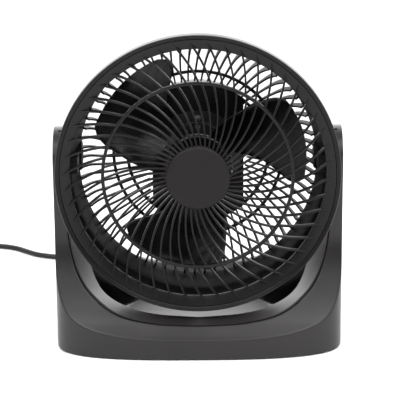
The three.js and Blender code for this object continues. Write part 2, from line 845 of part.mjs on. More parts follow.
// ---- underside: plate, feet and screws
const plateLow = skirtLift + 1.5;
const plate = planPrism(shellWall + fit, plateLow, plateLow + plateThick);
const footSpots = [[-112, frontY + 34], [112, frontY + 34], [-108, backY - 26], [108, backY - 26]];
const screwSpots = [[-60, frontY + 14], [60, frontY + 14], [-60, backY - 14], [60, backY - 14]];
const footHoles = footSpots.map(([x, y]) => rod(4 + 2 * fit, [x, y, 0], [x, y, 12], 8));
addPart('base_plate', plate.subtract(joined(footHoles)), 'shellPlastic');
footSpots.forEach(([x, y], i) => {
  const pad = rod(footRadius, [x, y, 0], [x, y, plateLow - fit], 14);
  const plug = rod(4, [x, y, 1], [x, y, plateLow + plateThick + 0.4], 8);
  addPart(`foot_${i + 1}`, pad.add(plug), 'rubber');
});
screwSpots.forEach(([x, y], i) => {
  addPart(`base_screw_${i + 1}`, rod(3.6, [x, y, 1.2], [x, y, plateLow - fit], 8), 'steel');
});

// ---- cord: strain relief in the rear wall, run on the floor, coil, flat two-blade plug
const cordRadius = cordWidth / 2;
const cordRest = cordRadius + 0.1;
const reliefTip = backY + reliefReach;
const coilPitch = cordWidth + coilSlack;
const coilOuter = coilRadius + coilPitch;

function makeRelief() {
  const wallIn = backY - shellWall - fit - 0.3;
  const profile = [
    [0, wallIn - 2.5],
    [9, wallIn - 2.5],
    [9, wallIn],
    [reliefNeck, wallIn],
    [reliefNeck, backY + fit],
    [8.4, backY + fit],
    [8.4, backY + 2.6],
    [6, backY + 4.4],
    [5.4, backY + 12],
    [4.3, backY + 12],
    [4.3, backY + 14.4],
    [5.1, backY + 14.4],
    [4.7, backY + 21],
    [3.9, backY + 21],
    [3.9, backY + 23.4],
    [4.6, backY + 23.4],
    [4.2, reliefTip],
    [0, reliefTip],
  ].map(([r, y]) => new THREE.Vector2(r, y));
  const sleeve = new THREE.LatheGeometry(profile, 12);
  sleeve.translate(0, 0, cordExit);
  return toSolid(sleeve);
}
addPart('strain_relief', makeRelief(), 'rubber');

function sweptCord(points, steps, sides) {
  const path = new THREE.CatmullRomCurve3(points.map((p) => new THREE.Vector3(...p)));
  const section = [];
  for (let i = 0; i < sides; i += 1) {
    const t = ((i + 0.5) * 2 * Math.PI) / sides;
    section.push(new THREE.Vector2(cordRadius * Math.cos(t), cordRadius * Math.sin(t)));
  }
  return toSolid(new THREE.ExtrudeGeometry(new THREE.Shape(section), { steps, extrudePath: path }));
}

const coilEntry = [coilCentre[0] + cordWidth, coilCentre[1] - coilOuter, cordRest];
const runPoints = [
  [0, reliefTip + fit, cordExit],
  [0, reliefTip + fit + cordWidth, cordExit - 0.1],
  [-2, 132, 13.2],
  [-6, 146, 8.2],
  [-14, 162, 4.3],
  [-27, 181, cordRest],
  [-48, 202, cordRest],
  [-77, 221, cordRest],
  [-110, 236, cordRest],
  [-146, 247, cordRest],
  [-180, 256, cordRest],
  [-199, 264, cordRest],
  [-213, 276, cordRest],
  [-226, 288, cordRest],
  [-242, 296, cordRest],
  [-262, 300, cordRest],
  [-284, 300.3, cordRest],
  [coilEntry[0] + fit, coilEntry[1], cordRest],
];
addPart('cord_run', sweptCord(runPoints, 30, 8), 'cordVinyl');

// the lower layer spirals in, the climb takes half a turn, the upper layer spirals out,
// and the tail drops beside the coil to the plug
const loopSteps = 20;
const turnsIn = 2;
const climbTurns = 0.5;
const tailTurns = 0.25;
const tailRoom = 8.5;
const tailLong = 44;
const plugHeight = plugThick / 2 + 0.1;

function coilPoint(turn) {
  const reverse = turnsIn + climbTurns;
  const upperStart = coilOuter - (turnsIn + climbTurns) * coilPitch;
  const climb = THREE.MathUtils.clamp((turn - turnsIn) / climbTurns, 0, 1) * (Math.PI / 2);
  const drop = THREE.MathUtils.clamp((turn - coilLoops) / tailTurns, 0, 1) * (Math.PI / 2);
  let radius = coilOuter - turn * coilPitch;
  let height = cordRest + coilPitch * (1 - Math.cos(climb));
  if (turn > turnsIn) radius = upperStart + (turn + 1 - reverse - Math.sin(climb)) * coilPitch;
  if (turn > coilLoops) {
    radius = coilOuter - (turn - coilLoops) * coilPitch + tailRoom * Math.sin(drop);
    height = cordRest + coilPitch * Math.cos(drop) ** 2;
  }
  const angle = -Math.PI / 2 - turn * 2 * Math.PI;
  return [coilCentre[0] + radius * Math.cos(angle), coilCentre[1] + radius * Math.sin(angle), height];
}

function coilLine() {
  const points = [coilEntry, [coilEntry[0] - cordWidth / 2, coilEntry[1], coilEntry[2]]];
  for (let i = 0; i <= (coilLoops + tailTurns) * loopSteps; i += 1) points.push(coilPoint(i / loopSteps));
  const [x, y] = points[points.length - 1];
  [[14, 0.1], [24, 0.5], [32, 0.9], [tailLong - cordWidth, 1], [tailLong, 1]].forEach(([run, rise]) => {
    points.push([x, y + run, cordRest + (plugHeight - cordRest) * rise]);
  });
  return points;
}

function leastGap(points) {
  const path = new THREE.CatmullRomCurve3(points.map((p) => new THREE.Vector3(...p)));
  const samples = path.getSpacedPoints(1600);
  const step = path.getLength() / 1600;
  const apart = Math.ceil((cordWidth * 4) / step);
  let least = Infinity;
  for (let i = 0; i < samples.length; i += 1) {
    for (let j = i + apart; j < samples.length; j += 1) {
      least = Math.min(least, samples[i].distanceTo(samples[j]));
    }
  }
  return { gap: least - cordWidth, length: path.getLength() };
}

const coilPoints = coilLine();
const coilSteps = Math.round((coilLoops + tailTurns) * loopSteps) + 6;
addPart('cord_coil', sweptCord(coilPoints, coilSteps, 6), 'cordVinyl');
const coilFacts = leastGap(coilPoints);
const runFacts = leastGap(runPoints);
console.log(`coil: least gap to itself ${coilFacts.gap.toFixed(2)} mm`);
console.log(`cord: ${(coilFacts.length + runFacts.length).toFixed(0)} mm long`);

// the plug lies flat: a waisted body with two flat blades
function makePlug() {
  const half = plugWide / 2;
  const shape = new THREE.Shape();
  shape.moveTo(-4.6, 0);
  shape.lineTo(4.6, 0);
  shape.bezierCurveTo(5.2, plugLong * 0.35, half - 1.5, plugLong * 0.3, half - 0.8, plugLong * 0.62);
  shape.lineTo(half - 0.8, plugLong);
  shape.lineTo(0.8 - half, plugLong);
  shape.lineTo(0.8 - half, plugLong * 0.62);
  shape.bezierCurveTo(1.5 - half, plugLong * 0.3, -5.2, plugLong * 0.35, -4.6, 0);
  const body = new THREE.ExtrudeGeometry(shape, {
    depth: plugThick - 3,
    curveSegments: 6,
    bevelThickness: 1.5,
    bevelSize: 0.8,
    bevelSegments: 2,
  });
  body.translate(0, 0, 1.5 + 0.1);
  return toSolid(body);
}

const [tailX, tailY] = coilPoints[coilPoints.length - 1];
const plugY = tailY + fit + 0.8;
addPart('plug_body', makePlug().translate([tailX, plugY, 0]), 'cordVinyl');
[-1, 1].forEach((s, i) => {
  const bladeFrom = plugY + plugLong + 0.8 + fit;
  const blade = block(1.5, bladeReach, 6.3, tailX + s * 6.35, bladeFrom + bladeReach / 2, plugHeight);
  addPart(`plug_blade_${i + 1}`, blade, 'brass');
});

export default group;
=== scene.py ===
# Table-top air circulator fan: swept front grille, round head on two arms, basket back, coiled lead.
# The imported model's own frame: objects in metres, the values below in millimetres, air blown towards -Y.
import bpy
import bmesh
import json
from math import sin, cos, pi, radians, hypot, atan2, tau
from mathutils import Vector, Matrix


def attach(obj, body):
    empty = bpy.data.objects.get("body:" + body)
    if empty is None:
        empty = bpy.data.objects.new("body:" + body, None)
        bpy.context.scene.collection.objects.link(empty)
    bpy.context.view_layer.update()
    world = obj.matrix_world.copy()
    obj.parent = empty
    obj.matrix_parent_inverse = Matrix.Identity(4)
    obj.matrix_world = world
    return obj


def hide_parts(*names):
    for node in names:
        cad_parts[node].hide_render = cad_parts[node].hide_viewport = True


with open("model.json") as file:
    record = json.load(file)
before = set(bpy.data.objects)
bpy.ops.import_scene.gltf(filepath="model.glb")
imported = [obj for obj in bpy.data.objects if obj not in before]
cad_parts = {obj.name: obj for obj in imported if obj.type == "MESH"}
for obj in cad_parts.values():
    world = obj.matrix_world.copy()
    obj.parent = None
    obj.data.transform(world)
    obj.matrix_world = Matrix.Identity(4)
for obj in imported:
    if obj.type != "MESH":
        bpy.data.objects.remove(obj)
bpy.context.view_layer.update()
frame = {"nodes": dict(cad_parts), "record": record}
print("frame loaded:", len(frame["nodes"]), "nodes")

mm = 0.001

# the camera stands a little above the fan, in metres
view = {
    "place": (0.0019, -1.78696, 0.69397), "target": (0.0019, -0.0645, 0.1713),
    "lens": 157.8, "sensor": 36, "far": 30, "roll": -0.42,
}


def placeCamera():
    data = bpy.data.cameras.new("camera")
    data.lens = view["lens"]
    data.sensor_width = view["sensor"]
    data.clip_end = view["far"]
    camera = bpy.data.objects.new("camera", data)
    bpy.context.scene.collection.objects.link(camera)
    look = Vector(view["target"]) - Vector(view["place"])
    turn = look.to_track_quat("-Z", "Y").to_matrix().to_4x4()
    camera.matrix_world = Matrix.Translation(view["place"]) @ turn @ Matrix.Rotation(radians(view["roll"]), 4, "Z")
    bpy.context.scene.camera = camera


placeCamera()
print("camera placed")

# the head's axis height, the lip plane's y, and the axis it tilts about
head = {"axis": 196.0, "lip": -64.5, "pivot": (4, 202)}


# places for turned forms: each makes a point of a radius, an angle and a reach along the axis
def headPoint(radius, angle, depth):
    # angle in radians counter-clockwise from the right, depth behind the lip plane
    return (radius * cos(angle), depth + head["lip"], head["axis"] + radius * sin(angle))


def behindLip(x, z):
    # an axis beside the head's own, at x and z from it
    return lambda r, angle, depth: (x + r * cos(angle), depth + head["lip"], head["axis"] + z + r * sin(angle))


def alongX(side, y, z):
    return lambda r, angle, reach: (side * reach, y + r * cos(angle), z + r * sin(angle))


def alongY(x, z):
    return lambda r, angle, reach: (x + r * cos(angle), reach, z + r * sin(angle))


def alongZ(x, y):
    return lambda r, angle, reach: (x + r * cos(angle), y + r * sin(angle), reach)


def smoothLine(points, parts=4):
    # centripetal pass through every point
    path = [Vector(p) for p in points]
    path = [2 * path[0] - path[1]] + path + [2 * path[-1] - path[-2]]
    line = []
    for a, b, c, d in zip(path, path[1:], path[2:], path[3:]):
        for i in range(parts):
            line.append(spot(a, b, c, d, i / parts))
    return line + [path[-2]]


def spot(a, b, c, d, t):
    knots = [0.0]
    for p, q in ((a, b), (b, c), (c, d)):
        knots.append(knots[-1] + max((q - p).length, 1e-6) ** 0.5)
    k0, k1, k2, k3 = knots
    at = k1 + (k2 - k1) * t
    a1 = a.lerp(b, (at - k0) / (k1 - k0))
    a2 = b.lerp(c, (at - k1) / (k2 - k1))
    a3 = c.lerp(d, (at - k2) / (k3 - k2))
    b1 = a1.lerp(a2, (at - k0) / (k2 - k0))
    b2 = a2.lerp(a3, (at - k1) / (k3 - k1))
    return b1.lerp(b2, (at - k1) / (k2 - k1))


def pathLength(line):
    return sum((q - p).length for p, q in zip(line, line[1:]))


# every form is a pair: vertices in millimetres, faces
def joined(rings):
    # closed rings of equal size, each joined to the next, both ends closed
    size = len(rings[0])
    faces = []
    for start in range(0, (len(rings) - 1) * size, size):
        for j in range(size):
            m = (j + 1) % size
            faces.append((start + j, start + m, start + size + m, start + size + j))
    faces += [tuple(range(size)), tuple((len(rings) - 1) * size + j for j in range(size))]
    return [tuple(p) for ring in rings for p in ring], faces


def meshOf(name, form):
    vertices, faces = form
    mesh = bpy.data.meshes.new(name)
    mesh.from_pydata([Vector(v) * mm for v in vertices], [], faces)
    work = bmesh.new()
    work.from_mesh(mesh)
    bmesh.ops.remove_doubles(work, verts=work.verts, dist=0.000002)
    bmesh.ops.dissolve_degenerate(work, edges=work.edges, dist=0.000001)
    bmesh.ops.recalc_face_normals(work, faces=work.faces)
    work.to_mesh(mesh)
    work.free()
    return mesh


def finish(piece, body, slot, nodes, look):
    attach(piece, body)
    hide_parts(*nodes)
    piece.data.materials.clear()
    piece.data.materials.append(finishes[look or slot])


def addPiece(name, form, body, slot, nodes, smooth=38, cutter=None, look=None):
    piece = bpy.data.objects.new(name, meshOf(name, form))
    bpy.context.scene.collection.objects.link(piece)
    if cutter:
        tool = bpy.data.objects.new(name + "_cutter", meshOf(name + "_cutter", cutter))
        bpy.context.scene.collection.objects.link(tool)
        cut = piece.modifiers.new("cut", "BOOLEAN")
        cut.object = tool
        cut.solver = "EXACT"
        done = bpy.data.meshes.new_from_object(piece.evaluated_get(bpy.context.evaluated_depsgraph_get()))
        piece.modifiers.clear()
        piece.data = done
        done.name = name
        bpy.data.objects.remove(tool)
    piece.data.polygons.foreach_set("use_smooth", [True] * len(piece.data.polygons))
    piece.data.set_sharp_from_angle(angle=radians(smooth))
    finish(piece, body, slot, nodes, look)
    return piece


# node groups shared by the finishes
def newGroup(name, inputs, outputs):
    group = bpy.data.node_groups.new(name, "ShaderNodeTree")
    for label, kind, value in inputs:
        socket = group.interface.new_socket(name=label, in_out="INPUT", socket_type=kind)
        socket.default_value = value
    for label, kind in outputs:
        group.interface.new_socket(name=label, in_out="OUTPUT", socket_type=kind)
    nodes = group.nodes
    return group, nodes.new("NodeGroupInput"), nodes.new("NodeGroupOutput")


def node(tree, kind, **values):
    made = tree.nodes.new(kind)
    for key, value in values.items():
        if hasattr(made, key):
            setattr(made, key, value)
        else:
            made.inputs[key.replace("_", " ")].default_value = value
    return made


def maths(tree, operation, first, second=None, clamp=False):
    made = tree.nodes.new("ShaderNodeMath")
    made.operation = operation
    made.use_clamp = clamp
    for place, source in enumerate((first, second)):
        if source is None:
            continue
        if isinstance(source, (int, float)):
            made.inputs[place].default_value = source
        else:
            tree.links.new(source, made.inputs[place])
    return made.outputs[0]


def buildMouldGrain():
    # fine spark-eroded grain of a moulding tool, with slow drift of tone
    group, given, out = newGroup(
        "mouldGrain",
        [("Grain Scale", "NodeSocketFloat", 1500.0), ("Drift Scale", "NodeSocketFloat", 14.0),
         ("Grain", "NodeSocketFloat", 1.0)],
        [("Height", "NodeSocketFloat"), ("Drift", "NodeSocketFloat")],
    )
    place = node(group, "ShaderNodeTexCoord")
    fine = node(group, "ShaderNodeTexNoise", Detail=3.0, Roughness=0.6)
    cells = node(group, "ShaderNodeTexVoronoi", feature="SMOOTH_F1")
    drift = node(group, "ShaderNodeTexNoise", Detail=4.0, Roughness=0.55)
    for tex, scale in ((fine, "Grain Scale"), (cells, "Grain Scale"), (drift, "Drift Scale")):
        group.links.new(place.outputs["Object"], tex.inputs["Vector"])
        group.links.new(given.outputs[scale], tex.inputs["Scale"])
    height = maths(group, "MULTIPLY_ADD", fine.outputs["Fac"], 0.7)
    height.node.inputs[2].default_value = 0.0
    mixed = maths(group, "ADD", height, maths(group, "MULTIPLY", cells.outputs["Distance"], 0.4))
    group.links.new(maths(group, "MULTIPLY", mixed, given.outputs["Grain"]), out.inputs["Height"])
    group.links.new(drift.outputs["Fac"], out.inputs["Drift"])
    return group


def buildEdgeWearAndHighlight():
    # where two faces meet within the reach, rubbed brighter in broken patches: edge wear, and also a painted highlight
    # along the edges
    group, given, out = newGroup(
        "edgeWearAndHighlight",
        [("Reach", "NodeSocketFloat", 0.0008), ("Broken", "NodeSocketFloat", 0.5),
         ("Patch Scale", "NodeSocketFloat", 90.0)],
        [("Mask", "NodeSocketFloat")],
    )
    bevel = node(group, "ShaderNodeBevel", samples=4)
    group.links.new(given.outputs["Reach"], bevel.inputs["Radius"])
    shape = node(group, "ShaderNodeNewGeometry")
    dot = node(group, "ShaderNodeVectorMath", operation="DOT_PRODUCT")
    group.links.new(bevel.outputs["Normal"], dot.inputs[0])
    group.links.new(shape.outputs["Normal"], dot.inputs[1])
    turned = maths(group, "SUBTRACT", 1.0, dot.outputs["Value"], clamp=True)
    sharp = maths(group, "MULTIPLY", turned, 5.0, clamp=True)
    place = node(group, "ShaderNodeTexCoord")
    patch = node(group, "ShaderNodeTexNoise", Detail=3.0)
    group.links.new(place.outputs["Object"], patch.inputs["Vector"])
    group.links.new(given.outputs["Patch Scale"], patch.inputs["Scale"])
    broken = maths(group, "MULTIPLY", given.outputs["Broken"], 0.5)
    spread = maths(group, "SUBTRACT", patch.outputs["Fac"], broken)
    kept = maths(group, "MULTIPLY", spread, 2.4, clamp=True)
    group.links.new(maths(group, "MULTIPLY", sharp, kept), out.inputs["Mask"])
    return group


def buildSettledDust():
    # thin film on what faces up, gathered in slow clouds
    group, given, out = newGroup(
        "settledDust",
        [("Amount", "NodeSocketFloat", 0.1), ("Cloud Scale", "NodeSocketFloat", 22.0)],
        [("Mask", "NodeSocketFloat")],
    )
    shape = node(group, "ShaderNodeNewGeometry")
    split = node(group, "ShaderNodeSeparateXYZ")
    group.links.new(shape.outputs["Normal"], split.inputs[0])
    up = maths(group, "POWER", maths(group, "MAXIMUM", split.outputs["Z"], 0.0), 2.0)
    place = node(group, "ShaderNodeTexCoord")
    cloud = node(group, "ShaderNodeTexNoise", Detail=6.0, Roughness=0.7)
    group.links.new(place.outputs["Object"], cloud.inputs["Vector"])
    group.links.new(given.outputs["Cloud Scale"], cloud.inputs["Scale"])
    clouded = maths(group, "MULTIPLY", up, cloud.outputs["Fac"])
    group.links.new(maths(group, "MULTIPLY", clouded, given.outputs["Amount"]), out.inputs["Mask"])
    return group


mouldGrain = buildMouldGrain()
edgeWearAndHighlight = buildEdgeWearAndHighlight()
settledDust = buildSettledDust()


def groupNode(tree, group, **values):
    made = tree.nodes.new("ShaderNodeGroup")
    made.node_tree = group
    for key, value in values.items():
        made.inputs[key.replace("_", " ")].default_value = value
    return made


def mixColour(tree, factor, first, second):
    made = tree.nodes.new("ShaderNodeMix")
    made.data_type = "RGBA"
    for place, source in (("Factor", factor), ("A", first), ("B", second)):
        socket = [s for s in made.inputs if s.name == place and s.enabled][0]
        if isinstance(source, tuple):
            socket.default_value = (*source, 1.0)
        elif isinstance(source, (int, float)):
            socket.default_value = source
        else:
            tree.links.new(source, socket)
    return [s for s in made.outputs if s.enabled][0]


def newMaterial(name):
    material = bpy.data.materials.new(name)
    material.use_nodes = True
    tree = material.node_tree
    shader = tree.nodes["Principled BSDF"]
    return material, tree, shader


def ranged(tree, source, low, high, fromLow=0.0, fromHigh=1.0):
    made = tree.nodes.new("ShaderNodeMapRange")
    made.inputs["From Min"].default_value = fromLow
    made.inputs["From Max"].default_value = fromHigh
    made.inputs["To Min"].default_value = low
    made.inputs["To Max"].default_value = high
    tree.links.new(source, made.inputs["Value"])
    return made.outputs["Result"]


def drifted(tree, grain, low, high):
    # a number that follows the slow drift of tone
    return ranged(tree, grain.outputs["Drift"], low, high, 0.3, 0.7)


def bumped(tree, shader, height, strength, distance):
    bump = node(tree, "ShaderNodeBump", Strength=strength, Distance=distance)
    tree.links.new(height, bump.inputs["Height"])
    tree.links.new(bump.outputs["Normal"], shader.inputs["Normal"])


dustTone = (0.16, 0.155, 0.15)
# edge colour of metals: worn metal and a painted edge highlight
metalWearAndHighlight = (0.8, 0.81, 0.82)

# dark and light tone, roughness, grain, bump, worn edge with its painted edge highlight, dust and gloss of each
# moulded plastic
plastics = {
    "head_black": {"dark": (0.0036, 0.0031, 0.0034), "light": (0.0062, 0.0054, 0.0058), "rough": (0.30, 0.38),
                   "grain": 1300, "bump": 0.05, "wearAndHighlight": (0.03, 0.028, 0.03), "dust": 0.02, "specular": 0.22},
    "base_black": {"dark": (0.0092, 0.0078, 0.0084), "light": (0.0138, 0.0118, 0.0127), "rough": (0.30, 0.38),
                   "grain": 1500, "bump": 0.05, "wearAndHighlight": (0.05, 0.046, 0.048), "dust": 0.03, "specular": 0.42},
    "basket_black": {"dark": (0.0030, 0.0026, 0.0028), "light": (0.0050, 0.0043, 0.0046), "rough": (0.50, 0.60),
                     "grain": 1300, "bump": 0.06, "wearAndHighlight": (0.02, 0.018, 0.02), "dust": 0.02, "specular": 0.18},
    "cap_grey": {"dark": (0.0062, 0.0050, 0.0051), "light": (0.0088, 0.0072, 0.0074), "rough": (0.50, 0.60),
                 "grain": 1700, "bump": 0.14, "wearAndHighlight": (0.03, 0.028, 0.03), "dust": 0.02, "specular": 0.20},
    "blade_black": {"dark": (0.0022, 0.0019, 0.0021), "light": (0.0038, 0.0033, 0.0036), "rough": (0.14, 0.22),
                    "grain": 900, "bump": 0.02, "wearAndHighlight": (0.02, 0.02, 0.02), "dust": 0.02, "specular": 0.34},
    "nylon_white": {"dark": (0.60, 0.59, 0.54), "light": (0.70, 0.69, 0.64), "rough": (0.48, 0.58),
                    "grain": 1200, "bump": 0.08, "wearAndHighlight": (0.8, 0.8, 0.77), "dust": 0.0, "specular": 0.45},
    "foot_rubber": {"dark": (0.010, 0.010, 0.010), "light": (0.018, 0.018, 0.018), "rough": (0.80, 0.92),
                    "grain": 800, "bump": 0.30, "wearAndHighlight": (0.05, 0.05, 0.05), "dust": 0.05, "specular": 0.25},
    "cord_rubber": {"dark": (0.009, 0.009, 0.009), "light": (0.016, 0.016, 0.016), "rough": (0.62, 0.74),
                    "grain": 1000, "bump": 0.18, "wearAndHighlight": (0.04, 0.04, 0.04), "dust": 0.08, "specular": 0.30},
    "cord_vinyl": {"dark": (0.008, 0.008, 0.0085), "light": (0.014, 0.014, 0.0145), "rough": (0.42, 0.54),
                   "grain": 700, "bump": 0.10, "wearAndHighlight": (0.035, 0.035, 0.036), "dust": 0.10, "specular": 0.38},
}


def plasticFinish(name):
    values = plastics[name]
    material, tree, shader = newMaterial(name)
    grain = groupNode(tree, mouldGrain, Grain_Scale=float(values["grain"]))
    wornAndLitEdge = groupNode(tree, edgeWearAndHighlight).outputs["Mask"]
    dust = groupNode(tree, settledDust, Amount=values["dust"]).outputs["Mask"]
    colour = mixColour(tree, drifted(tree, grain, 0.0, 1.0), values["dark"], values["light"])
    # painted highlight: edges lightened towards the edge colour, partly real wear
    colour = mixColour(tree, maths(tree, "MULTIPLY", wornAndLitEdge, 0.5), colour, values["wearAndHighlight"])
    colour = mixColour(tree, dust, colour, dustTone)
    tree.links.new(colour, shader.inputs["Base Color"])
    # worn edges, which also carry a painted highlight, are smoother, dust is rougher
    rough = drifted(tree, grain, *values["rough"])
    rough = maths(tree, "SUBTRACT", rough, maths(tree, "MULTIPLY", wornAndLitEdge, 0.08))
    rough = maths(tree, "ADD", rough, maths(tree, "MULTIPLY", dust, 0.5), clamp=True)
    tree.links.new(rough, shader.inputs["Roughness"])
    bumped(tree, shader, grain.outputs["Height"], values["bump"], 0.0002)
    shader.inputs["Specular IOR Level"].default_value = values["specular"]
    return material


metals = {
    "bright_steel": {"dark": (0.50, 0.51, 0.53), "light": (0.66, 0.67, 0.69), "rough": (0.20, 0.34), "grain": 600},
    "zinc_steel": {"dark": (0.030, 0.029, 0.031), "light": (0.055, 0.053, 0.056), "rough": (0.40, 0.56), "grain": 260},
    "plug_brass": {"dark": (0.60, 0.61, 0.62), "light": (0.72, 0.73, 0.74), "rough": (0.18, 0.30), "grain": 500},
}


def metalFinish(name):
    values = metals[name]
    material, tree, shader = newMaterial(name)
    grain = groupNode(tree, mouldGrain, Grain_Scale=float(values["grain"]), Drift_Scale=60.0)
    wornAndLitEdge = groupNode(tree, edgeWearAndHighlight, Reach=0.0004).outputs["Mask"]
    colour = mixColour(tree, drifted(tree, grain, 0.0, 1.0), values["dark"], values["light"])
    # painted highlight: metal edges lightened towards the edge colour, partly real wear
    colour = mixColour(tree, maths(tree, "MULTIPLY", wornAndLitEdge, 0.4), colour, metalWearAndHighlight)
    tree.links.new(colour, shader.inputs["Base Color"])
    tree.links.new(drifted(tree, grain, *values["rough"]), shader.inputs["Roughness"])
    shader.inputs["Metallic"].default_value = 1.0
    bumped(tree, shader, grain.outputs["Height"], 0.12, 0.0001)
    return material


winding = {"gap": (0.10, 0.035, 0.014), "wire": (0.46, 0.17, 0.06), "scale": 420.0, "metal": 0.6}


def windingFinish():
    # varnished copper wire laid round the stack
    material, tree, shader = newMaterial("winding_copper")
    place = node(tree, "ShaderNodeTexCoord")
    wires = node(tree, "ShaderNodeTexWave", bands_direction="Y", Scale=winding["scale"], Distortion=1.2, Detail=2.0)
    tree.links.new(place.outputs["Object"], wires.inputs["Vector"])
    colour = mixColour(tree, wires.outputs["Fac"], winding["gap"], winding["wire"])
    tree.links.new(colour, shader.inputs["Base Color"])
    tree.links.new(ranged(tree, wires.outputs["Fac"], 0.45, 0.25), shader.inputs["Roughness"])
    shader.inputs["Metallic"].default_value = winding["metal"]
    bumped(tree, shader, wires.outputs["Fac"], 0.6, 0.0003)
    return material


finishes = {name: plasticFinish(name) for name in plastics}
finishes.update({name: metalFinish(name) for name in metals})
finishes["winding_copper"] = windingFinish()
print("finishes made:", len(finishes))

# the lead: out of the rear wall, along the floor, into a coil that ends in the plug
lead = {
    "width": 6.0, "low": 3.1, "around": 12,
    "exit": (0, 114.3, 16),
    "run": [
        (0, 120.3, 15.9), (-2, 132, 13.2), (-6, 146, 8.2), (-14, 162, 4.3), (-27, 181, 3.1),
        (-48, 202, 3.1), (-77, 221, 3.1), (-110, 236, 3.1), (-146, 247, 3.1), (-180, 256, 3.1),
        (-199, 264, 3.1), (-213, 276, 3.1), (-226, 288, 3.1), (-242, 296, 3.1), (-262, 300, 3.1),
        (-284, 300.3, 3.1), (-300, 300.3, 3.1), (-303, 300.3, 3.1),
    ],
    "coilCentre": (-306, 341), "coilOuter": 40.7, "pitch": 6.7, "turnParts": 20,
    "turnsIn": 2, "climb": 0.5, "loops": 5, "drop": 0.25, "swing": 8.5,
    "tail": [(14, 0.1), (24, 0.5), (32, 0.9), (38, 1.0), (44, 1.0)],
    "plugHeight": 6.3,
}


def coilPoint(turn):
    # two turns wind in on the floor, half a turn climbs, the rest winds out on top, the last part drops
    pitch, outer = lead["pitch"], lead["coilOuter"]
    back = lead["turnsIn"] + lead["climb"]
    climb = min(max((turn - lead["turnsIn"]) / lead["climb"], 0), 1) * pi / 2
    drop = min(max((turn - lead["loops"]) / lead["drop"], 0), 1) * pi / 2
    radius = outer - turn * pitch
    height = lead["low"] + pitch * (1 - cos(climb))
    if turn > lead["turnsIn"]:
        radius = outer - back * pitch + (turn + 1 - back - sin(climb)) * pitch
    if turn > lead["loops"]:
        radius = outer - (turn - lead["loops"]) * pitch + lead["swing"] * sin(drop)
        height = lead["low"] + pitch * cos(drop) ** 2
    angle = -pi / 2 - turn * tau
    x, y = lead["coilCentre"]
    return (x + radius * cos(angle), y + radius * sin(angle), height)


def leadRoute():
    parts = lead["turnParts"]
    points = [lead["exit"]] + lead["run"]
    points += [coilPoint(i / parts) for i in range(round((lead["loops"] + lead["drop"]) * parts) + 1)]
    x, y = points[-1][:2]
    rise = lead["plugHeight"] - lead["low"]
    return points + [(x, y + run, lead["low"] + rise * share) for run, share in lead["tail"]]


def makeLead(line):
    # a round skin along the route, its rings carried on without a twist
    radius, around = lead["width"] / 2, lead["around"]
    side = Vector((1, 0, 0))
    rings = []
    for k, p in enumerate(line):
        run = (line[min(k + 1, len(line) - 1)] - line[max(k - 1, 0)]).normalized()
        side = (side - run * side.dot(run)).normalized()
        up = run.cross(side)
        turns = [tau * j / around for j in range(around)]
        rings.append([p + (side * cos(angle) + up * sin(angle)) * radius for angle in turns])
    return addPiece("mains_lead", joined(rings), "base", "cord_vinyl", ["cord_run", "cord_coil"])


leadLine = smoothLine(leadRoute())
leadPiece = makeLead(leadLine)
print("lead:", round(pathLength(leadLine) * mm, 3), "m")


def mergeForms(forms):
    vertices, faces = [], []
    for points, sides in forms:
        start = len(vertices)
        vertices += points
        faces += [tuple(i + start for i in side) for side in sides]
    return vertices, faces


def softCorners(points, radii, steps=4):
    # rounds the inner corners of a line; lines with as many corners get as many points
    path = [Vector(p) for p in points]
    line = [path[0]]
    for last, here, after, radius in zip(path, path[1:], path[2:], radii[1:]):
        if radius == 0:
            line.append(here)
            continue
        back, onward = last - here, after - here
        start = here + back.normalized() * min(radius, back.length * 0.45)
        end = here + onward.normalized() * min(radius, onward.length * 0.45)
        for k in range(steps + 1):
            t = k / steps
            line.append(start * (1 - t) ** 2 + here * 2 * t * (1 - t) + end * t * t)
    return line + [path[-1]]


def softLoop(points, radii, steps=4):
    path = [points[-1]] + list(points) + [points[0]]
    return softCorners(path, [0] + list(radii) + [0], steps)[1:-1]


def denser(line, parts):
    made = []
    for a, b in zip(line, line[1:]):
        made += [Vector(a).lerp(Vector(b), i / parts) for i in range(parts)]
    return made + [Vector(line[-1])]


def turned(profile, count=180, closed=True, place=headPoint):
    # a profile of (radius, depth) turned about the axis that place stands for
    vertices, faces = [], []
    size = len(profile)
    for k in range(count):
        vertices += [place(p[0], tau * k / count, p[1]) for p in profile]
    for k in range(count):
        n = (k + 1) % count
        for j in range(size if closed else size - 1):
            m = (j + 1) % size
            faces.append((k * size + j, n * size + j, n * size + m, k * size + m))
    return vertices, faces


def bar(stations, section):
    # stations are (point, side, back); the section's pairs run along side and back
    rings = []
    for point, side, back in stations:
        p, s, b = Vector(point), Vector(side), Vector(back)
        rings.append([p + s * i + b * j for i, j in section])
    return joined(rings)


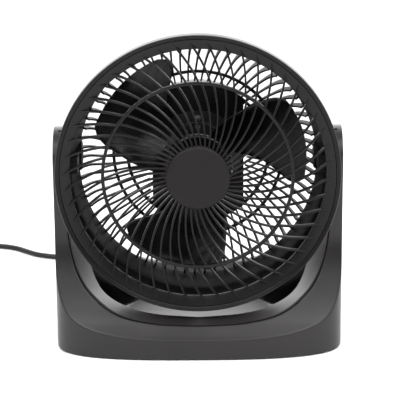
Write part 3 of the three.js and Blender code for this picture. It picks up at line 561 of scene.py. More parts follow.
def sheet(grid, thick, round=False):
    # rows of points made into a skin; thick is a number or a function of row and column
    rows, cols = len(grid), len(grid[0])
    points = [[Vector(p) for p in row] for row in grid]
    normals = [[Vector() for _ in range(cols)] for _ in range(rows)]
    top = []
    for k in range(rows if round else rows - 1):
        n = (k + 1) % rows
        for j in range(cols - 1):
            a, b, c, d = points[k][j], points[n][j], points[n][j + 1], points[k][j + 1]
            normal = (c - a).cross(d - b)
            for x, y in ((k, j), (n, j), (n, j + 1), (k, j + 1)):
                normals[x][y] += normal
            top.append((k * cols + j, n * cols + j, n * cols + j + 1, k * cols + j + 1))
    vertices = [tuple(p) for row in points for p in row]
    last = Vector((0, 0, 1))
    for k in range(rows):
        for j in range(cols):
            if normals[k][j].length > 1e-9:
                last = normals[k][j].normalized()
            depth = thick(k, j) if callable(thick) else thick
            vertices.append(tuple(points[k][j] - last * depth))
    under = rows * cols
    faces = top + [tuple(i + under for i in reversed(side)) for side in top]
    edges = []
    for k in range(rows if round else rows - 1):
        n = (k + 1) % rows
        edges += [(n * cols, k * cols), (k * cols + cols - 1, n * cols + cols - 1)]
    if not round:
        for j in range(cols - 1):
            edges += [(j, j + 1), ((rows - 1) * cols + j + 1, (rows - 1) * cols + j)]
    faces += [(a, b, b + under, a + under) for a, b in edges]
    return vertices, faces


def smoothNumbers(numbers, parts):
    return [p.y for p in smoothLine([(k * 10.0, v, 0) for k, v in enumerate(numbers)], parts)]


def drill(radius, start, end, count, place):
    # a round cutter
    return turned([(0, start), (radius, start), (radius, end), (0, end)], count, closed=False, place=place)


def block(low, high):
    (x0, y0, z0), (x1, y1, z1) = low, high
    corners = [(x, y, z) for z in (z0, z1) for x, y in ((x0, y0), (x1, y0), (x1, y1), (x0, y1))]
    return corners, [(0, 3, 2, 1), (4, 5, 6, 7), (0, 1, 5, 4), (1, 2, 6, 5), (2, 3, 7, 6), (3, 0, 4, 7)]


# front grille: swept ribs from the hub plate to fins that die into the cone
grille = {
    "count": 50, "phase": 2.7, "lag": 1.3, "twist": 0.272,
    "hubRadius": 33.0, "midRadius": 97.6, "coneInner": 131.7, "edgeRadius": 142.1,
    "hubFront": -4.2, "midFront": 0.4, "coneFront": 3.4, "finEnd": 139.4,
    "width": 1.95, "innerDeep": 4.4, "outerDeep": 5.2, "midWide": 3.4, "midDeep": 4.6,
    "finBack": 8.0, "finThin": 0.35,
}
ribEdge = [(0.17, 0.0), (0.40, 0.07), (0.5, 0.22), (0.5, 1.0)]
ribSection = [(-x, y) for x, y in reversed(ribEdge)] + ribEdge


def grilleDepth(r):
    if r < grille["midRadius"]:
        share = (r - grille["hubRadius"]) / (grille["midRadius"] - grille["hubRadius"])
        return grille["hubFront"] + (grille["midFront"] - grille["hubFront"]) * share
    share = (r - grille["midRadius"]) / (grille["coneInner"] - grille["midRadius"])
    return grille["midFront"] + (grille["coneFront"] - grille["midFront"]) * share


def grilleRib(number, start, end, lag, deep, parts):
    stations = []
    for k in range(parts + 1):
        r = start + (end - start) * k / parts
        swept = grille["twist"] * (r - grille["midRadius"])
        angle = radians(grille["phase"] + lag + swept + 360 * number / grille["count"])
        wide = grille["width"] * hypot(1, r * radians(grille["twist"]))
        bottom = deep
        if r > grille["coneInner"]:
            wide *= 1 - grille["finThin"] * (r - grille["coneInner"]) / (end - grille["coneInner"])
            bottom = min(deep, grille["finBack"] - grilleDepth(r))
        side = Vector((-sin(angle), 0, cos(angle))) * wide
        stations.append((headPoint(r, angle, grilleDepth(r)), side, (0, bottom, 0)))
    return bar(stations, ribSection)


def makeGrille():
    forms = []
    hubRadius, mid = grille["hubRadius"], grille["midRadius"]
    for i in range(grille["count"]):
        forms.append(grilleRib(i, hubRadius - 1.5, mid - 0.6, -grille["lag"], grille["innerDeep"], 16))
        forms.append(grilleRib(i, mid + 0.6, grille["finEnd"], 0.0, grille["outerDeep"], 12))
    half, front = grille["midWide"] / 2, grille["midFront"] - 0.7
    back = front + grille["midDeep"]
    ring = [(mid - half, back), (mid - half, front), (mid + half, front), (mid + half, back)]
    forms.append(turned(softLoop(ring, [0.3, 1.0, 1.0, 0.3]), 200))
    inner, edge = grille["coneInner"], grille["edgeRadius"]
    cone = [(inner, 6.4), (edge - 0.1, 3.2), (edge, 12.0), (edge - 2.4, 12.0), (edge - 2.6, 6.6), (inner, 9.8)]
    forms.append(turned(softLoop(cone, [0.9, 0.45, 0.2, 0.2, 0.8, 0.5]), 200))
    hub = [(hubRadius - 5, -3.9), (hubRadius - 0.2, -3.9), (hubRadius - 0.2, 0.6), (hubRadius - 1.6, 1.2),
           (hubRadius - 5, 1.2)]
    forms.append(turned(softLoop(hub, [0.2, 0.4, 0.5, 0.5, 0.2]), 120))
    addPiece("swept_grille", mergeForms(forms), "head", "head_black", ["front_grille"], smooth=42)


# plain cap over the grille's hub
cap = {"radius": 33.0, "front": -8.0, "back": -4.35, "wall": 2.0}


def makeCap():
    r, inner, front, back = cap["radius"], cap["radius"] - cap["wall"], cap["front"], cap["back"]
    profile = [(0, front), (r * 0.5, front + 0.08), (r * 0.8, front + 0.35), (r - 1.6, front + 0.9),
               (r, front + 2.2), (r, back), (inner, back), (inner, front + 3.2), (0, front + 2.2)]
    soft = softCorners(profile, [0, 5, 4, 2.2, 1.3, 0.4, 0.3, 1.0, 0], 5)
    addPiece("cap_disc", turned(soft, 160, closed=False), "head", "cap_grey", ["grille_cap"], smooth=30)


# lip ring: fine terraces that step forward to the outer edge
lip = {
    "inner": 142.5, "outer": 147.0, "back": 12.0, "edge": 1.1,
    "terraces": [(142.5, 2.9), (143.75, 2.35), (143.95, 1.35), (145.2, 0.95), (145.4, 0.15), (146.3, 0.0)],
}


def makeLipRing():
    outer, back = lip["outer"], lip["back"]
    profile = lip["terraces"] + [(outer, lip["edge"]), (outer, back), (lip["inner"], back)]
    soft = softLoop(profile, [0.25, 0.16, 0.2, 0.16, 0.22, 0.3, 0.5, 0.3, 0.2], 3)
    addPiece("lip_terrace", turned(soft, 220), "head", "head_black", ["lip_ring"], smooth=34)


# rear housing: rim band, basket of meridian ribs, two hoops and the closed motor panel
basket = {
    "count": 72, "width": 2.1, "deep": 6.6, "innerDeep": 3.0, "twist": -0.085, "twistFrom": 134,
    "path": [(128.4, 61), (127, 66), (116, 82.4), (92, 91.6), (77, 96.2), (46, 96.6)],
    "band": [(146.7, 12.35, 0.3), (144.6, 17.5, 3), (141.2, 24.0, 4), (135.2, 31.0, 5), (131.2, 50.0, 4),
             (127.6, 64.5, 0.8), (124.9, 64.2, 0.8), (128.6, 49.5, 4), (132.2, 30.4, 5), (138.4, 22.6, 4),
             (141.2, 17.0, 3), (143.4, 12.35, 0.3)],
    "hoopRadius": 90.2, "hoopWide": 3.4, "panelRadius": 77.0, "panelHalf": 49.0, "panelCorner": 3.0,
    "panelFront": 94.0, "panelBack": 97.0, "hole": (0.72, 0.47),
    "bosses": [(-30, 57, 3.4), (17.8, 57.8, 3.4), (-29.4, 45, 2.6), (30, -57, 3.4), (-18, -58, 3.4)],
    "pivotBoss": [(6.4, 134.7, 0.4), (16.2, 134.7, 0.8), (17.0, 133.8, 0.8), (17.0, 124, 2), (15, 122, 2),
                  (6.4, 122, 0.4)],
    "web": ((124.6, 132.6), (-41, -6), 8.5),
}


def softProfile(corners, steps=4):
    # corners are (radius, reach, rounding)
    return softLoop([(a, b) for a, b, _ in corners], [soft for *_, soft in corners], steps)


def flatCircle(radius, half, corner, count=20):
    # a circle with two upright flats and soft corners between them
    f = min(corner, half - 1)
    cx = half - f
    cz = ((radius - f) ** 2 - cx * cx) ** 0.5
    top = atan2(cz, cx)
    quarter = [(cx + f * cos(top * i / 8), cz + f * sin(top * i / 8)) for i in range(9)]
    for i in range(1, count + 1):
        angle = top + (pi / 2 - top) * i / count
        quarter.append((radius * cos(angle), radius * sin(angle)))
    upper = quarter + [(-x, z) for x, z in reversed(quarter[:-1])]
    return upper + [(-x, -z) for x, z in upper]


def outlineRings(rings):
    # rings are (points, depth)
    return joined([[(x, u + head["lip"], head["axis"] + z) for x, z in points] for points, u in rings])


def basketRib(line, spread):
    stations = []
    for k, (r, u, _) in enumerate(line):
        angle = spread + radians(basket["twist"] * (r - basket["twistFrom"]))
        if r < basket["panelRadius"] - 1 and abs(r * cos(angle)) < basket["panelHalf"] - 1.2:
            break
        run = (line[min(k + 1, len(line) - 1)] - line[max(k - 1, 0)]).normalized()
        side = Vector((-sin(angle), 0, cos(angle))) * basket["width"] * (0.72 + 0.28 * r / basket["twistFrom"])
        deep = basket["innerDeep"] + (basket["deep"] - basket["innerDeep"]) * min(max((r - 78) / 30, 0), 1)
        back = Vector((-abs(run.y) * cos(angle), -abs(run.x), -abs(run.y) * sin(angle))) * deep
        stations.append((headPoint(r, angle, u), side, back))
    return bar(stations, ribSection)


def makePanel():
    # the closed panel's flat-sided ring, open behind the motor plate
    r, half, corner = basket["panelRadius"], basket["panelHalf"], basket["panelCorner"]
    front, back = basket["panelFront"], basket["panelBack"]
    steps = ((0.5, front), (0.0, front + 0.5), (0.0, back - 0.5), (0.5, back))
    rings = [(flatCircle(r - inset, half - inset, corner), u) for inset, u in steps]
    wide, tall = basket["hole"]
    hole = [(x * wide, z * tall) for x, z in flatCircle(r, half, corner)]
    vertices, faces = outlineRings([(hole, front)] + rings + [(hole, back)])
    size = len(hole)
    last = (len(rings) + 1) * size
    inside = [(last + j, last + (j + 1) % size, (j + 1) % size, j) for j in range(size)]
    return vertices, faces[:-2] + inside


def makeBasket():
    line = smoothLine([(r, u, 0) for r, u in basket["path"]], 5)
    forms = [basketRib(line, tau * (i + 0.5) / basket["count"]) for i in range(basket["count"])]
    forms.append(turned(softProfile(basket["band"]), 200))
    r, half = basket["hoopRadius"], basket["hoopWide"] / 2
    hoop = [(r - half, 92.4), (r + half, 91.8), (r + half - 0.3, 88.9), (r - half, 89.5)]
    forms.append(turned(softLoop(hoop, [0.7] * 4), 160))
    r = basket["panelRadius"]
    hoop = [(r - 3.2, 96.9), (r, 96.6), (r, 93.6), (r - 3.2, 94.0)]
    forms.append(turned(softLoop(hoop, [0.6] * 4), 160))
    forms.append(makePanel())
    for x, z, r in basket["bosses"]:
        boss = [(0, 90.6), (r - 1.6, 90.6), (r - 1.6, 89.4), (r, 89.4), (r + 0.4, 94.4), (0, 94.4)]
        soft = softCorners(boss, [0, 0.2, 0.2, 0.4, 0.2, 0], 3)
        forms.append(turned(soft, 32, closed=False, place=behindLip(x, z)))
    (inner, outer), (front, back), rise = basket["web"]
    y, z = head["pivot"]
    for side in (-1, 1):
        forms.append(turned(softProfile(basket["pivotBoss"]), 56, place=alongX(side, y, z)))
        low, high = sorted((side * inner, side * outer))
        forms.append(block((low, front, z - rise), (high, back, z + rise)))
    addPiece("rear_basket", mergeForms(forms), "head", "head_black", ["rear_housing"], smooth=42, look="basket_black")


# impeller: cup hub and three broad swept blades, and its nut
impeller = {
    "blades": 3, "root": 34.8, "tip": 115.4, "front": 33.0, "thick": 1.8,
    "rows": [(0, 12, 72, 38, 4), (0.188, 4, 64, 40, 4), (0.387, -2, 57, 42, 4), (0.585, -9, 51, 43, 4.5),
             (0.783, -15, 46.5, 44, 5), (0.92, -15, 42.5, 42, 6), (1, -9, 38, 38, 8)],
    "hubRadius": 36.0, "hubBack": 74.0, "chordParts": 16, "webs": 6, "webLong": 30,
}


def bladeSurface(f, values):
    # f runs along the chord, from the leading edge to the trailing edge
    share, lead, trail, leadDeep, trailDeep = values
    r = impeller["root"] + (impeller["tip"] - impeller["root"]) * share
    camber = sin(pi * f) * (5 + 2 * share)
    return r, lead + (trail - lead) * f, impeller["front"] + leadDeep + (trailDeep - leadDeep) * f + camber


def spreadRows(rows, parts):
    # each column of the table passes smoothly through its numbers
    return list(zip(*(smoothNumbers(column, parts) for column in zip(*rows))))


def bladeThick(row, column):
    # thickest in the middle of the chord
    return -impeller["thick"] * (0.25 + 0.75 * sin(pi * column / impeller["chordParts"]) ** 0.6)


def makeImpeller():
    forms = []
    rows = spreadRows(impeller["rows"], 5)
    cols = impeller["chordParts"]
    for number in range(impeller["blades"]):
        grid = []
        for values in rows:
            line = []
            for j in range(cols + 1):
                f = 0.5 - 0.5 * cos(pi * j / cols)
                r, angle, u = bladeSurface(f, values)
                thin = 0.25 + 0.75 * sin(pi * f) ** 0.6
                turn = radians(angle + 360 / impeller["blades"] * number)
                line.append(headPoint(r, turn, u - impeller["thick"] * thin * 0.55))
            grid.append(line)
        forms.append(sheet(grid, bladeThick))
    r, front, back = impeller["hubRadius"], impeller["front"], impeller["hubBack"]
    cup = [(4.3, front), (14, front - 0.02), (r - 2, front), (r, front + 3), (r, back), (r - 2.2, back),
           (r - 2.2, front + 4), (8, front + 4), (8, back - 4), (4.3, back - 4)]
    forms.append(turned(softLoop(cup, [0.3, 0, 3.4, 3.4, 0.5, 0.5, 1, 1, 0.4, 0.3]), 120))
    for i in range(impeller["webs"]):
        angle = tau * (i + 0.5) / impeller["webs"]
        side = Vector((-sin(angle), 0, cos(angle))) * 1.6
        stations = [(headPoint(q, angle, front + 3), side, (0, impeller["webLong"], 0)) for q in (7.5, 20, r - 1.5)]
        forms.append(bar(stations, [(-0.5, 0), (0.5, 0), (0.5, 1), (-0.5, 1)]))
    addPiece("fan_impeller", mergeForms(forms), "rotor", "blade_black", ["impeller"], smooth=40)


nut = {"radius": 11.0, "front": 22.0, "back": 32.7, "grips": 6, "gripDeep": 1.5}


def makeNut():
    radius, front, back = nut["radius"], nut["front"], nut["back"]
    profile = [(0.05, front), (4.6, front + 0.25), (8.2, front + 2.8), (radius, back - 1.6),
               (radius, back), (4.3, back), (4.3, front + 4.6), (0.05, front + 4.6)]
    soft = softCorners(profile, [0, 2.0, 2.4, 1.0, 0.4, 0.2, 0.4, 0], 5)

    def gripped(r, angle, u):
        # six finger scallops, deepest at the rim
        dip = max(cos(nut["grips"] * angle), 0) ** 2 * nut["gripDeep"] * min(max((r - 5.0) / 5.0, 0), 1)
        return headPoint(r - dip, angle, u)

    form = turned(soft, 144, closed=False, place=gripped)
    addPiece("blade_nut", form, "rotor", "blade_black", ["impeller_nut"], smooth=36)


# motor cover: a bowl shaped like the panel, with vent slots and the hole for the knob's stem
cover = {
    "radius": 75.0, "half": 47.0, "corner": 9.0, "front": 97.3, "back": 128.0, "wall": 2.4, "edge": 9.0,
    "vents": 5, "ventRise": 30.0, "ventGap": 5.4, "ventTall": 2.6, "ventWide": 70.5,
    "knobDrop": 22.0, "hole": 5.0, "seat": 17.2, "well": 3.4,
    "wells": [(-36, 42), (36, 42), (-36, -42), (36, -42)],
}


def makeCover():
    def ring(inset, u):
        return flatCircle(cover["radius"] - inset, cover["half"] - inset, max(cover["corner"] - inset, 1.2)), u

    edge, back, front, wall = cover["edge"], cover["back"], cover["front"], cover["wall"]
    rings = [ring(0.5, front), ring(0.0, front + 0.5)]
    for i in range(8):
        turn = pi / 2 * i / 7
        rings.append(ring(edge * (1 - cos(turn)), back - edge * (1 - sin(turn))))
    rings += [ring(edge + 6, back), ring(edge + 20, back)]
    inner = [ring(edge + 20, back - wall), ring(edge + 6, back - wall)]
    for i in range(5, -1, -1):
        turn = pi / 2 * i / 5
        inner.append(ring(wall + (edge - 1) * (1 - cos(turn)), back - wall - (edge - 1) * (1 - sin(turn))))
    inner.append(ring(wall, front))
    size = len(rings[0][0])
    vertices, faces = outlineRings(rings + inner)
    # the outer and the inner skin each get a floor, and a rim joins them
    middle = len(rings) - 1
    faces = faces[:middle * size] + faces[(middle + 1) * size:-2]
    faces.append(tuple(middle * size + j for j in range(size)))
    faces.append(tuple((middle + 1) * size + j for j in range(size)))
    last = len(rings) + len(inner) - 1
    faces += [(last * size + j, last * size + (j + 1) % size, (j + 1) % size, j) for j in range(size)]
    cutters = []
    y = back + head["lip"]
    for i in range(cover["vents"]):
        row = i - (cover["vents"] - 1) / 2
        wide = (cover["ventWide"] - abs(row) * 3) / 2
        z = head["axis"] + cover["ventRise"] + row * cover["ventGap"]
        cutters.append(block((-wide, y - 8, z - cover["ventTall"] / 2), (wide, y + 4, z + cover["ventTall"] / 2)))
    behindKnob = behindLip(0, -cover["knobDrop"])
    cutters.append(drill(cover["hole"], back - 8, back + 4, 32, behindKnob))
    cutters.append(drill(cover["seat"], back - 0.8, back + 4, 72, behindKnob))
    cutters += [drill(cover["well"], back - 9.5, back + 4, 28, behindLip(x, z)) for x, z in cover["wells"]]
    addPiece("motor_bowl", (vertices, faces), "head", "head_black", ["motor_cover"], smooth=30,
             cutter=mergeForms(cutters))


knob = {
    "radius": 15.0, "front": 128.3, "back": 142.3, "grips": 12, "gripDeep": 1.1,
    "pointer": (0.8, 1.5, 8.4), "stem": 4.4,
}


def makeKnob():
    front, top, r = knob["front"], knob["back"], knob["radius"]
    place = behindLip(0, -cover["knobDrop"])
    profile = [(0.05, front), (r, front), (r, front + 3.0), (r - 0.9, front + 4.4), (r - 2.0, top - 0.6),
               (r - 5.5, top), (r - 6.5, top - 0.9), (0.05, top - 0.9)]
    soft = softCorners(profile, [0, 0.5, 0.5, 0.8, 2.0, 0.8, 0.6, 0], 5)

    def gripped(radius, angle, depth):
        share = min(max((depth - front - 4.0) / 2.0, 0), 1) * min(max((radius - 9) / 2, 0), 1)
        dip = max(cos(knob["grips"] * (angle - pi / 2)), 0) ** 3 * knob["gripDeep"] * share
        return place(radius - dip, angle, depth)

    forms = [turned(soft, 192, closed=False, place=gripped)]
    half, low, high = knob["pointer"]
    centre = head["axis"] - cover["knobDrop"]
    rings = []
    for wide, depth in ((half, top - 1.0), (half * 0.7, top + 0.05)):
        corners = [(-wide, low), (wide, low), (wide, high), (-wide, high)]
        rings.append([(x, depth + head["lip"], centre + z) for x, z in corners])
    forms.append(joined(rings))
    r = knob["stem"]
    stem = [(0.05, front - 6.5), (r, front - 6.5), (r, front + 0.4), (0.05, front + 0.4)]
    forms.append(turned(softCorners(stem, [0, 0.4, 0, 0]), 40, closed=False, place=place))
    addPiece("speed_dial", mergeForms(forms), "knob", "cap_grey", ["speed_knob"], smooth=32)


# motor plate, can and winding behind the hub
motor = {
    "plate": 47.0, "plateFront": 91.7, "rise": 7.0, "holes": 6, "holeRing": 20, "hole": 3.2,
    "can": 28.0, "canFront": 87.0, "canLong": 22.0, "winding": 33.0, "windingInner": 28.3,
}


def makeMotor():
    f, r, rise = motor["plateFront"], motor["plate"], motor["rise"]
    plate = [(10, f - rise, 0.3), (30, f - rise, 1.6), (34, f, 1.6), (r - 0.2, f, 0.4), (r - 0.2, f + 2, 0.4),
             (32.6, f + 2, 1.2), (28.8, f - rise + 2, 1.2), (10, f - rise + 2, 0.3)]
    holes = []
    for i in range(motor["holes"]):
        angle = tau * (i + 0.5) / motor["holes"]
        place = behindLip(motor["holeRing"] * cos(angle), motor["holeRing"] * sin(angle))
        holes.append(drill(motor["hole"], f - rise - 3, f - rise + 5, 24, place))
    addPiece("motor_mount", turned(softProfile(plate), 120), "head", "zinc_steel", ["motor_plate"], smooth=34,
             cutter=mergeForms(holes))
    f, r, deep = motor["canFront"], motor["can"], motor["canLong"]
    can = [(0.05, f), (r - 8, f), (r - 3, f + deep * 0.23), (r, f + deep * 0.41), (r, f + deep * 0.82),
           (r - 6, f + deep), (0.05, f + deep)]
    form = turned(softCorners(can, [0, 1.2, 1.2, 1.2, 1.4, 1.4, 0]), 96, closed=False)
    addPiece("motor_can", form, "head", "zinc_steel", ["motor_body"])
    front, back = f + deep * 0.43, f + deep * 0.77
    r, inner = motor["winding"], motor["windingInner"]
    coil = [(inner, front, 0.5), (r, front, 2.0), (r, back, 2.0), (inner, back, 0.5)]
    addPiece("motor_coil", turned(softProfile(coil, 5), 96), "head", "winding_copper", ["motor_winding"])


# base: one shell with a falling front face and two round-topped arms, and the cradle skin
base = {
    "half": 151.5, "front": -80.0, "deep": 160.0, "power": 2.6, "frontPower": 2.85, "frontCorner": 55.0,
    "backCorner": 42.0, "backFrom": 90, "turnHigh": 56,
    "pivot": (84.0, 200.2), "armRadius": 32.0, "armFront": 52.0, "armInner": 137.0,
    "lift": 1.5, "tuck": 3.2, "skin": 2.2, "room": 2.6, "parts": 5,
    "slot": (144.6, 110, 3.6, 3.2, 1.5),
    "stripDeep": 26.0, "stripLess": 17.0, "stripEven": 6, "pocketAt": 5.0, "floorHigh": 36.4,
    "bevelLine": [(-4, 20.5), (0, 22.5), (4, 25.7), (8, 29.4), (12, 33.2), (16, 37.3), (21.6, 44.4), (28, 54.8),
                  (33, 65), (37.3, 74.7), (42, 86), (46.5, 99), (49.8, 113), (51.4, 128), (52, 146)],
    "rearLine": [(116, 202), (116.5, 180), (118, 160), (121, 138), (126, 116), (133, 97), (142, 82), (152, 71),
                 (164, 62)],
    # the rim over the back, outer and inner points
    "rearRim": [((151.5, 118, 160), (136.5, 118, 160)), ((151.3, 121, 138), (133.6, 121, 138)),
                ((150, 126, 116), (126, 126, 116)), ((147.4, 133, 97), (114.5, 133, 97)),
                ((136.8, 142, 82), (99.5, 142, 82)), ((108.8, 152, 71), (83, 151, 70)),
                ((93, 155, 66.5), (76, 151, 65)), ((78, 157, 62.6), (68, 151, 61)),
                ((64, 158.4, 59.6), (60, 151, 58.4)), ((50, 159, 56.4), (50, 151, 56.2)),
                ((34, 159.6, 54.6), (34, 151, 54.6)), ((16, 160, 54.1), (16, 151, 54.1)),
                ((0, 160, 54.1), (0, 151, 54.1))],
    # lines across the cradle as (x, z), from the middle up the right side
    "mouthEdge": [(0, 34.3), (18, 34.6), (40, 35.6), (61.6, 38.5), (77.8, 42.3), (94, 49.8), (109.3, 61.4),
                  (119, 72.3), (126.6, 86.5), (132, 105), (135, 124), (136.6, 146)],
    "mouthBack": [13.5, 13.8, 14.7, 17, 19.8, 24.7, 31.2, 36.4, 42.2, 48, 51.6, 53],
    "innerEdge": [(0, 40.6), (18, 40.7), (41, 41.5), (62.5, 43.9), (75, 46.4), (88.6, 50.2), (101.4, 57.5),
                  (109.6, 69.5), (115, 83), (121, 103), (128, 126), (134, 148)],
    "pocketFront": [(0, 40.2), (18, 40.2), (41, 40.2), (62, 40.0), (75, 39.6), (87, 39), (95, 33), (108, 46),
                    (119, 66), (127, 92), (132, 120), (135.5, 146)],
    "pocketBack": [(0, 33), (13, 33), (29, 33), (44, 33), (55, 33), (64, 33), (71, 33), (85, 45), (99, 63),
                   (113, 87), (125, 116), (133, 144)],
    "rearEdge": [(0, 57), (16, 57), (34, 57.3), (50, 59), (62, 61.8), (72, 65.6), (80, 70), (93, 81.5),
                 (104, 94.5), (114, 107), (123, 122), (131, 144)],
}


def finePath(points, parts=6):
    return [(p.x, p.y) for p in smoothLine([(a, b, 0) for a, b in points], parts)]


def readLine(line, value, by=0):
    # straight reading of a fine line, by its first or second number
    pairs = [(p[by], p[1 - by]) for p in line]
    if pairs[0][0] > pairs[-1][0]:
        pairs.reverse()
    if value <= pairs[0][0]:
        return pairs[0][1]
    for (a, b), (c, d) in zip(pairs, pairs[1:]):
        if value <= c:
            return b + (d - b) * (value - a) / max(c - a, 1e-9)
    return pairs[-1][1]


bevelFine = finePath(base["bevelLine"])
rearFine = finePath(base["rearLine"])


def onBevel(x, deep, z):
    # the bevel is read by its depth below and by its height above
    if z > base["turnHigh"]:
        return x, readLine(bevelFine, z, 1), z
    return x, deep, readLine(bevelFine, deep)


def outlineX(deep, inset=0.0):
    half, power = base["half"] - inset, base["power"]
    if deep < base["frontCorner"]:
        power = base["frontPower"]
        share = (base["frontCorner"] - deep) / (base["frontCorner"] - inset)
    elif deep > base["deep"] - base["backCorner"]:
        share = (deep - base["deep"] + base["backCorner"]) / (base["backCorner"] - inset)
    else:
        return half
    return half * max(1 - min(share, 1) ** power, 0) ** (1 / power)


def outlineDeep(x, atBack, inset=0.0):
    half, power = base["half"] - inset, base["power"] if atBack else base["frontPower"]
    share = max(1 - min(abs(x) / half, 1) ** power, 0) ** (1 / power)
    if atBack:
        return base["deep"] - base["backCorner"] + (base["backCorner"] - inset) * share
    return base["frontCorner"] - (base["frontCorner"] - inset) * share


def onOutline(x, deep, atBack):
    if base["frontCorner"] <= deep <= base["deep"] - base["backCorner"]:
        return base["half"], deep
    if abs(x) < 0.8 * base["half"]:
        return x, outlineDeep(x, atBack)
    return outlineX(deep), deep


def shellColumns():
    # pairs of rim points, outer and inner, from the front middle over the right arm to the back middle
    half, front, inner = base["half"], base["armFront"], base["armInner"] + base["room"]
    first, last = base["mouthBack"][0], base["mouthBack"][-1]
    pairs = []
    for (x, z), deep in zip(base["mouthEdge"], base["mouthBack"]):
        outDeep = front * (deep - first) / (last - first)
        pairs.append(((outlineX(outDeep), outDeep, readLine(bevelFine, outDeep)), (x, deep, z)))
    arm = [(front, z) for z in (158, 172, 186)]
    pivotDeep, pivotHigh = base["pivot"]
    for i in range(13):
        angle = pi - pi * i / 12
        arm.append((pivotDeep + base["armRadius"] * cos(angle), pivotHigh + base["armRadius"] * sin(angle)))
    arm.append((116.5, 180))
    return pairs + [((half, deep, z), (inner, deep, z)) for deep, z in arm] + base["rearRim"]


def footLine(rim, bevelEnd):
    # the wall's foot runs ahead of the rim where it climbs the arms and behind it on the way down
    climb, fall = [50.5, 53, 56, 59.5, 63], [107, 112, 118.5, 125.5, 132.8]
    depths = climb + [66 + 3 * i for i in range(13)] + fall
    fine = [p.x for p in smoothLine([(deep, 0, 0) for deep in depths], base["parts"])][base["parts"]:]
    feet = []
    for k, p in enumerate(rim):
        x, deep = p.x, p.y
        if 0 <= k - bevelEnd < len(fine):
            deep = fine[k - bevelEnd]
        if climb[0] < deep < 132:
            x = outlineX(deep)
        feet.append(Vector((x, deep, base["lift"])))
    return feet


def armSlot(side):
    # a small blind slot in front of each arm's top
    x, angle, wide, long, deep = base["slot"]
    out = Vector((0, cos(radians(angle)), sin(radians(angle))))
    along = out.cross(Vector((1, 0, 0)))
    pivotDeep, pivotHigh = base["pivot"]
    middle = Vector((side * x, pivotDeep + base["front"], pivotHigh)) + out * base["armRadius"]
    section = [(-wide / 2, -long / 2), (wide / 2, -long / 2), (wide / 2, long / 2), (-wide / 2, long / 2)]
    return bar([(middle + out * reach, (1, 0, 0), along) for reach in (-deep, 3)], section)


def rimInner(i, before, after, grow):
    # the shell's edge stands clear of the cradle skin, measured square to the rim
    run = Vector((after.x - before.x, after.z - before.z)).normalized()
    i = Vector(onBevel(i.x + run.y * grow, i.y, i.z - run.x * grow))
    return Vector(onBevel(i.x, i.y - 0.4 * grow if i.z < base["turnHigh"] else i.y, i.z))


def makeShell():
    outer, inner = (smoothLine(side, base["parts"]) for side in zip(*shellColumns()))
    bevelEnd = (len(base["mouthEdge"]) - 1) * base["parts"]
    middle = -base["front"]
    columns = []
    for k, (o, i, low) in enumerate(zip(outer, inner, footLine(outer, bevelEnd))):
        onFront = k <= bevelEnd
        x, deep = onOutline(o.x, o.y, o.y > base["backFrom"])
        o = Vector((x, deep, readLine(bevelFine, deep) if onFront and o.z < base["turnHigh"] else o.z))
        if onFront:
            i = rimInner(i, inner[max(k - 1, 0)], inner[k + 1], base["room"] * min(1, (bevelEnd + 3 - k) / 3))
            strip = [Vector(onBevel(*o.lerp(i, step / 8))) for step in range(9)]
            down = Vector((0, 3.6, -0.4))
        else:
            strip = [o.lerp(i, step / 8) for step in range(9)]
            down = (Vector((i.x, base["pivot"][0], max(o.z - 60, 20))) - i).normalized() * 3.6
        tuck = base["tuck"]
        foot = (low.x * (1 - tuck / base["half"]), middle + (low.y - middle) * (1 - tuck / middle), base["lift"])
        wall = []
        for step in range(8):
            p = low.lerp(o, step / 8)
            wall.append(Vector((*onOutline(p.x, p.y, p.y > base["backFrom"]), p.z)))
        line = [foot] + wall + strip + [strip[-1] + down]
        radii = [0, 1.0] + [0] * 7 + [1.15] + [0] * 7 + [0.55, 0]
        columns.append([(p.x, p.y - middle, p.z) for p in softCorners(line, radii)])
    mirrored = [[(-x, y, z) for x, y, z in column] for column in columns[-2:0:-1]]
    form = sheet(columns + mirrored, base["skin"], round=True)
    addPiece("base_body", form, "base", "base_black", ["base_shell"], smooth=44,
             cutter=mergeForms([armSlot(-1), armSlot(1)]))


def rearLimit(x, z):
    # how far back the cradle skin runs at this height
    if z > 70.5:
        return readLine(rearFine, z, 1) - 0.9
    return min(readLine(rearFine, z, 1) - 0.9 if z > 63 else 159.0, outlineDeep(x, True, 1.0))


def cutAtRear(line):
    # ends a line across the cradle where it meets the rear limit
    for j in range(len(line) - 1, 4, -1):
        if line[j].y <= rearLimit(line[j].x, line[j].z) + 0.01:
            break
        a, b = line[j - 1], line[j]
        low, high = 0.0, 1.0
        for _ in range(24):
            t = (low + high) / 2
            p = a.lerp(b, t)
            if p.y <= rearLimit(p.x, p.z):
                low = t
            else:
                high = t
        line[j:] = [a.lerp(b, low)] * (len(line) - j)
    return line


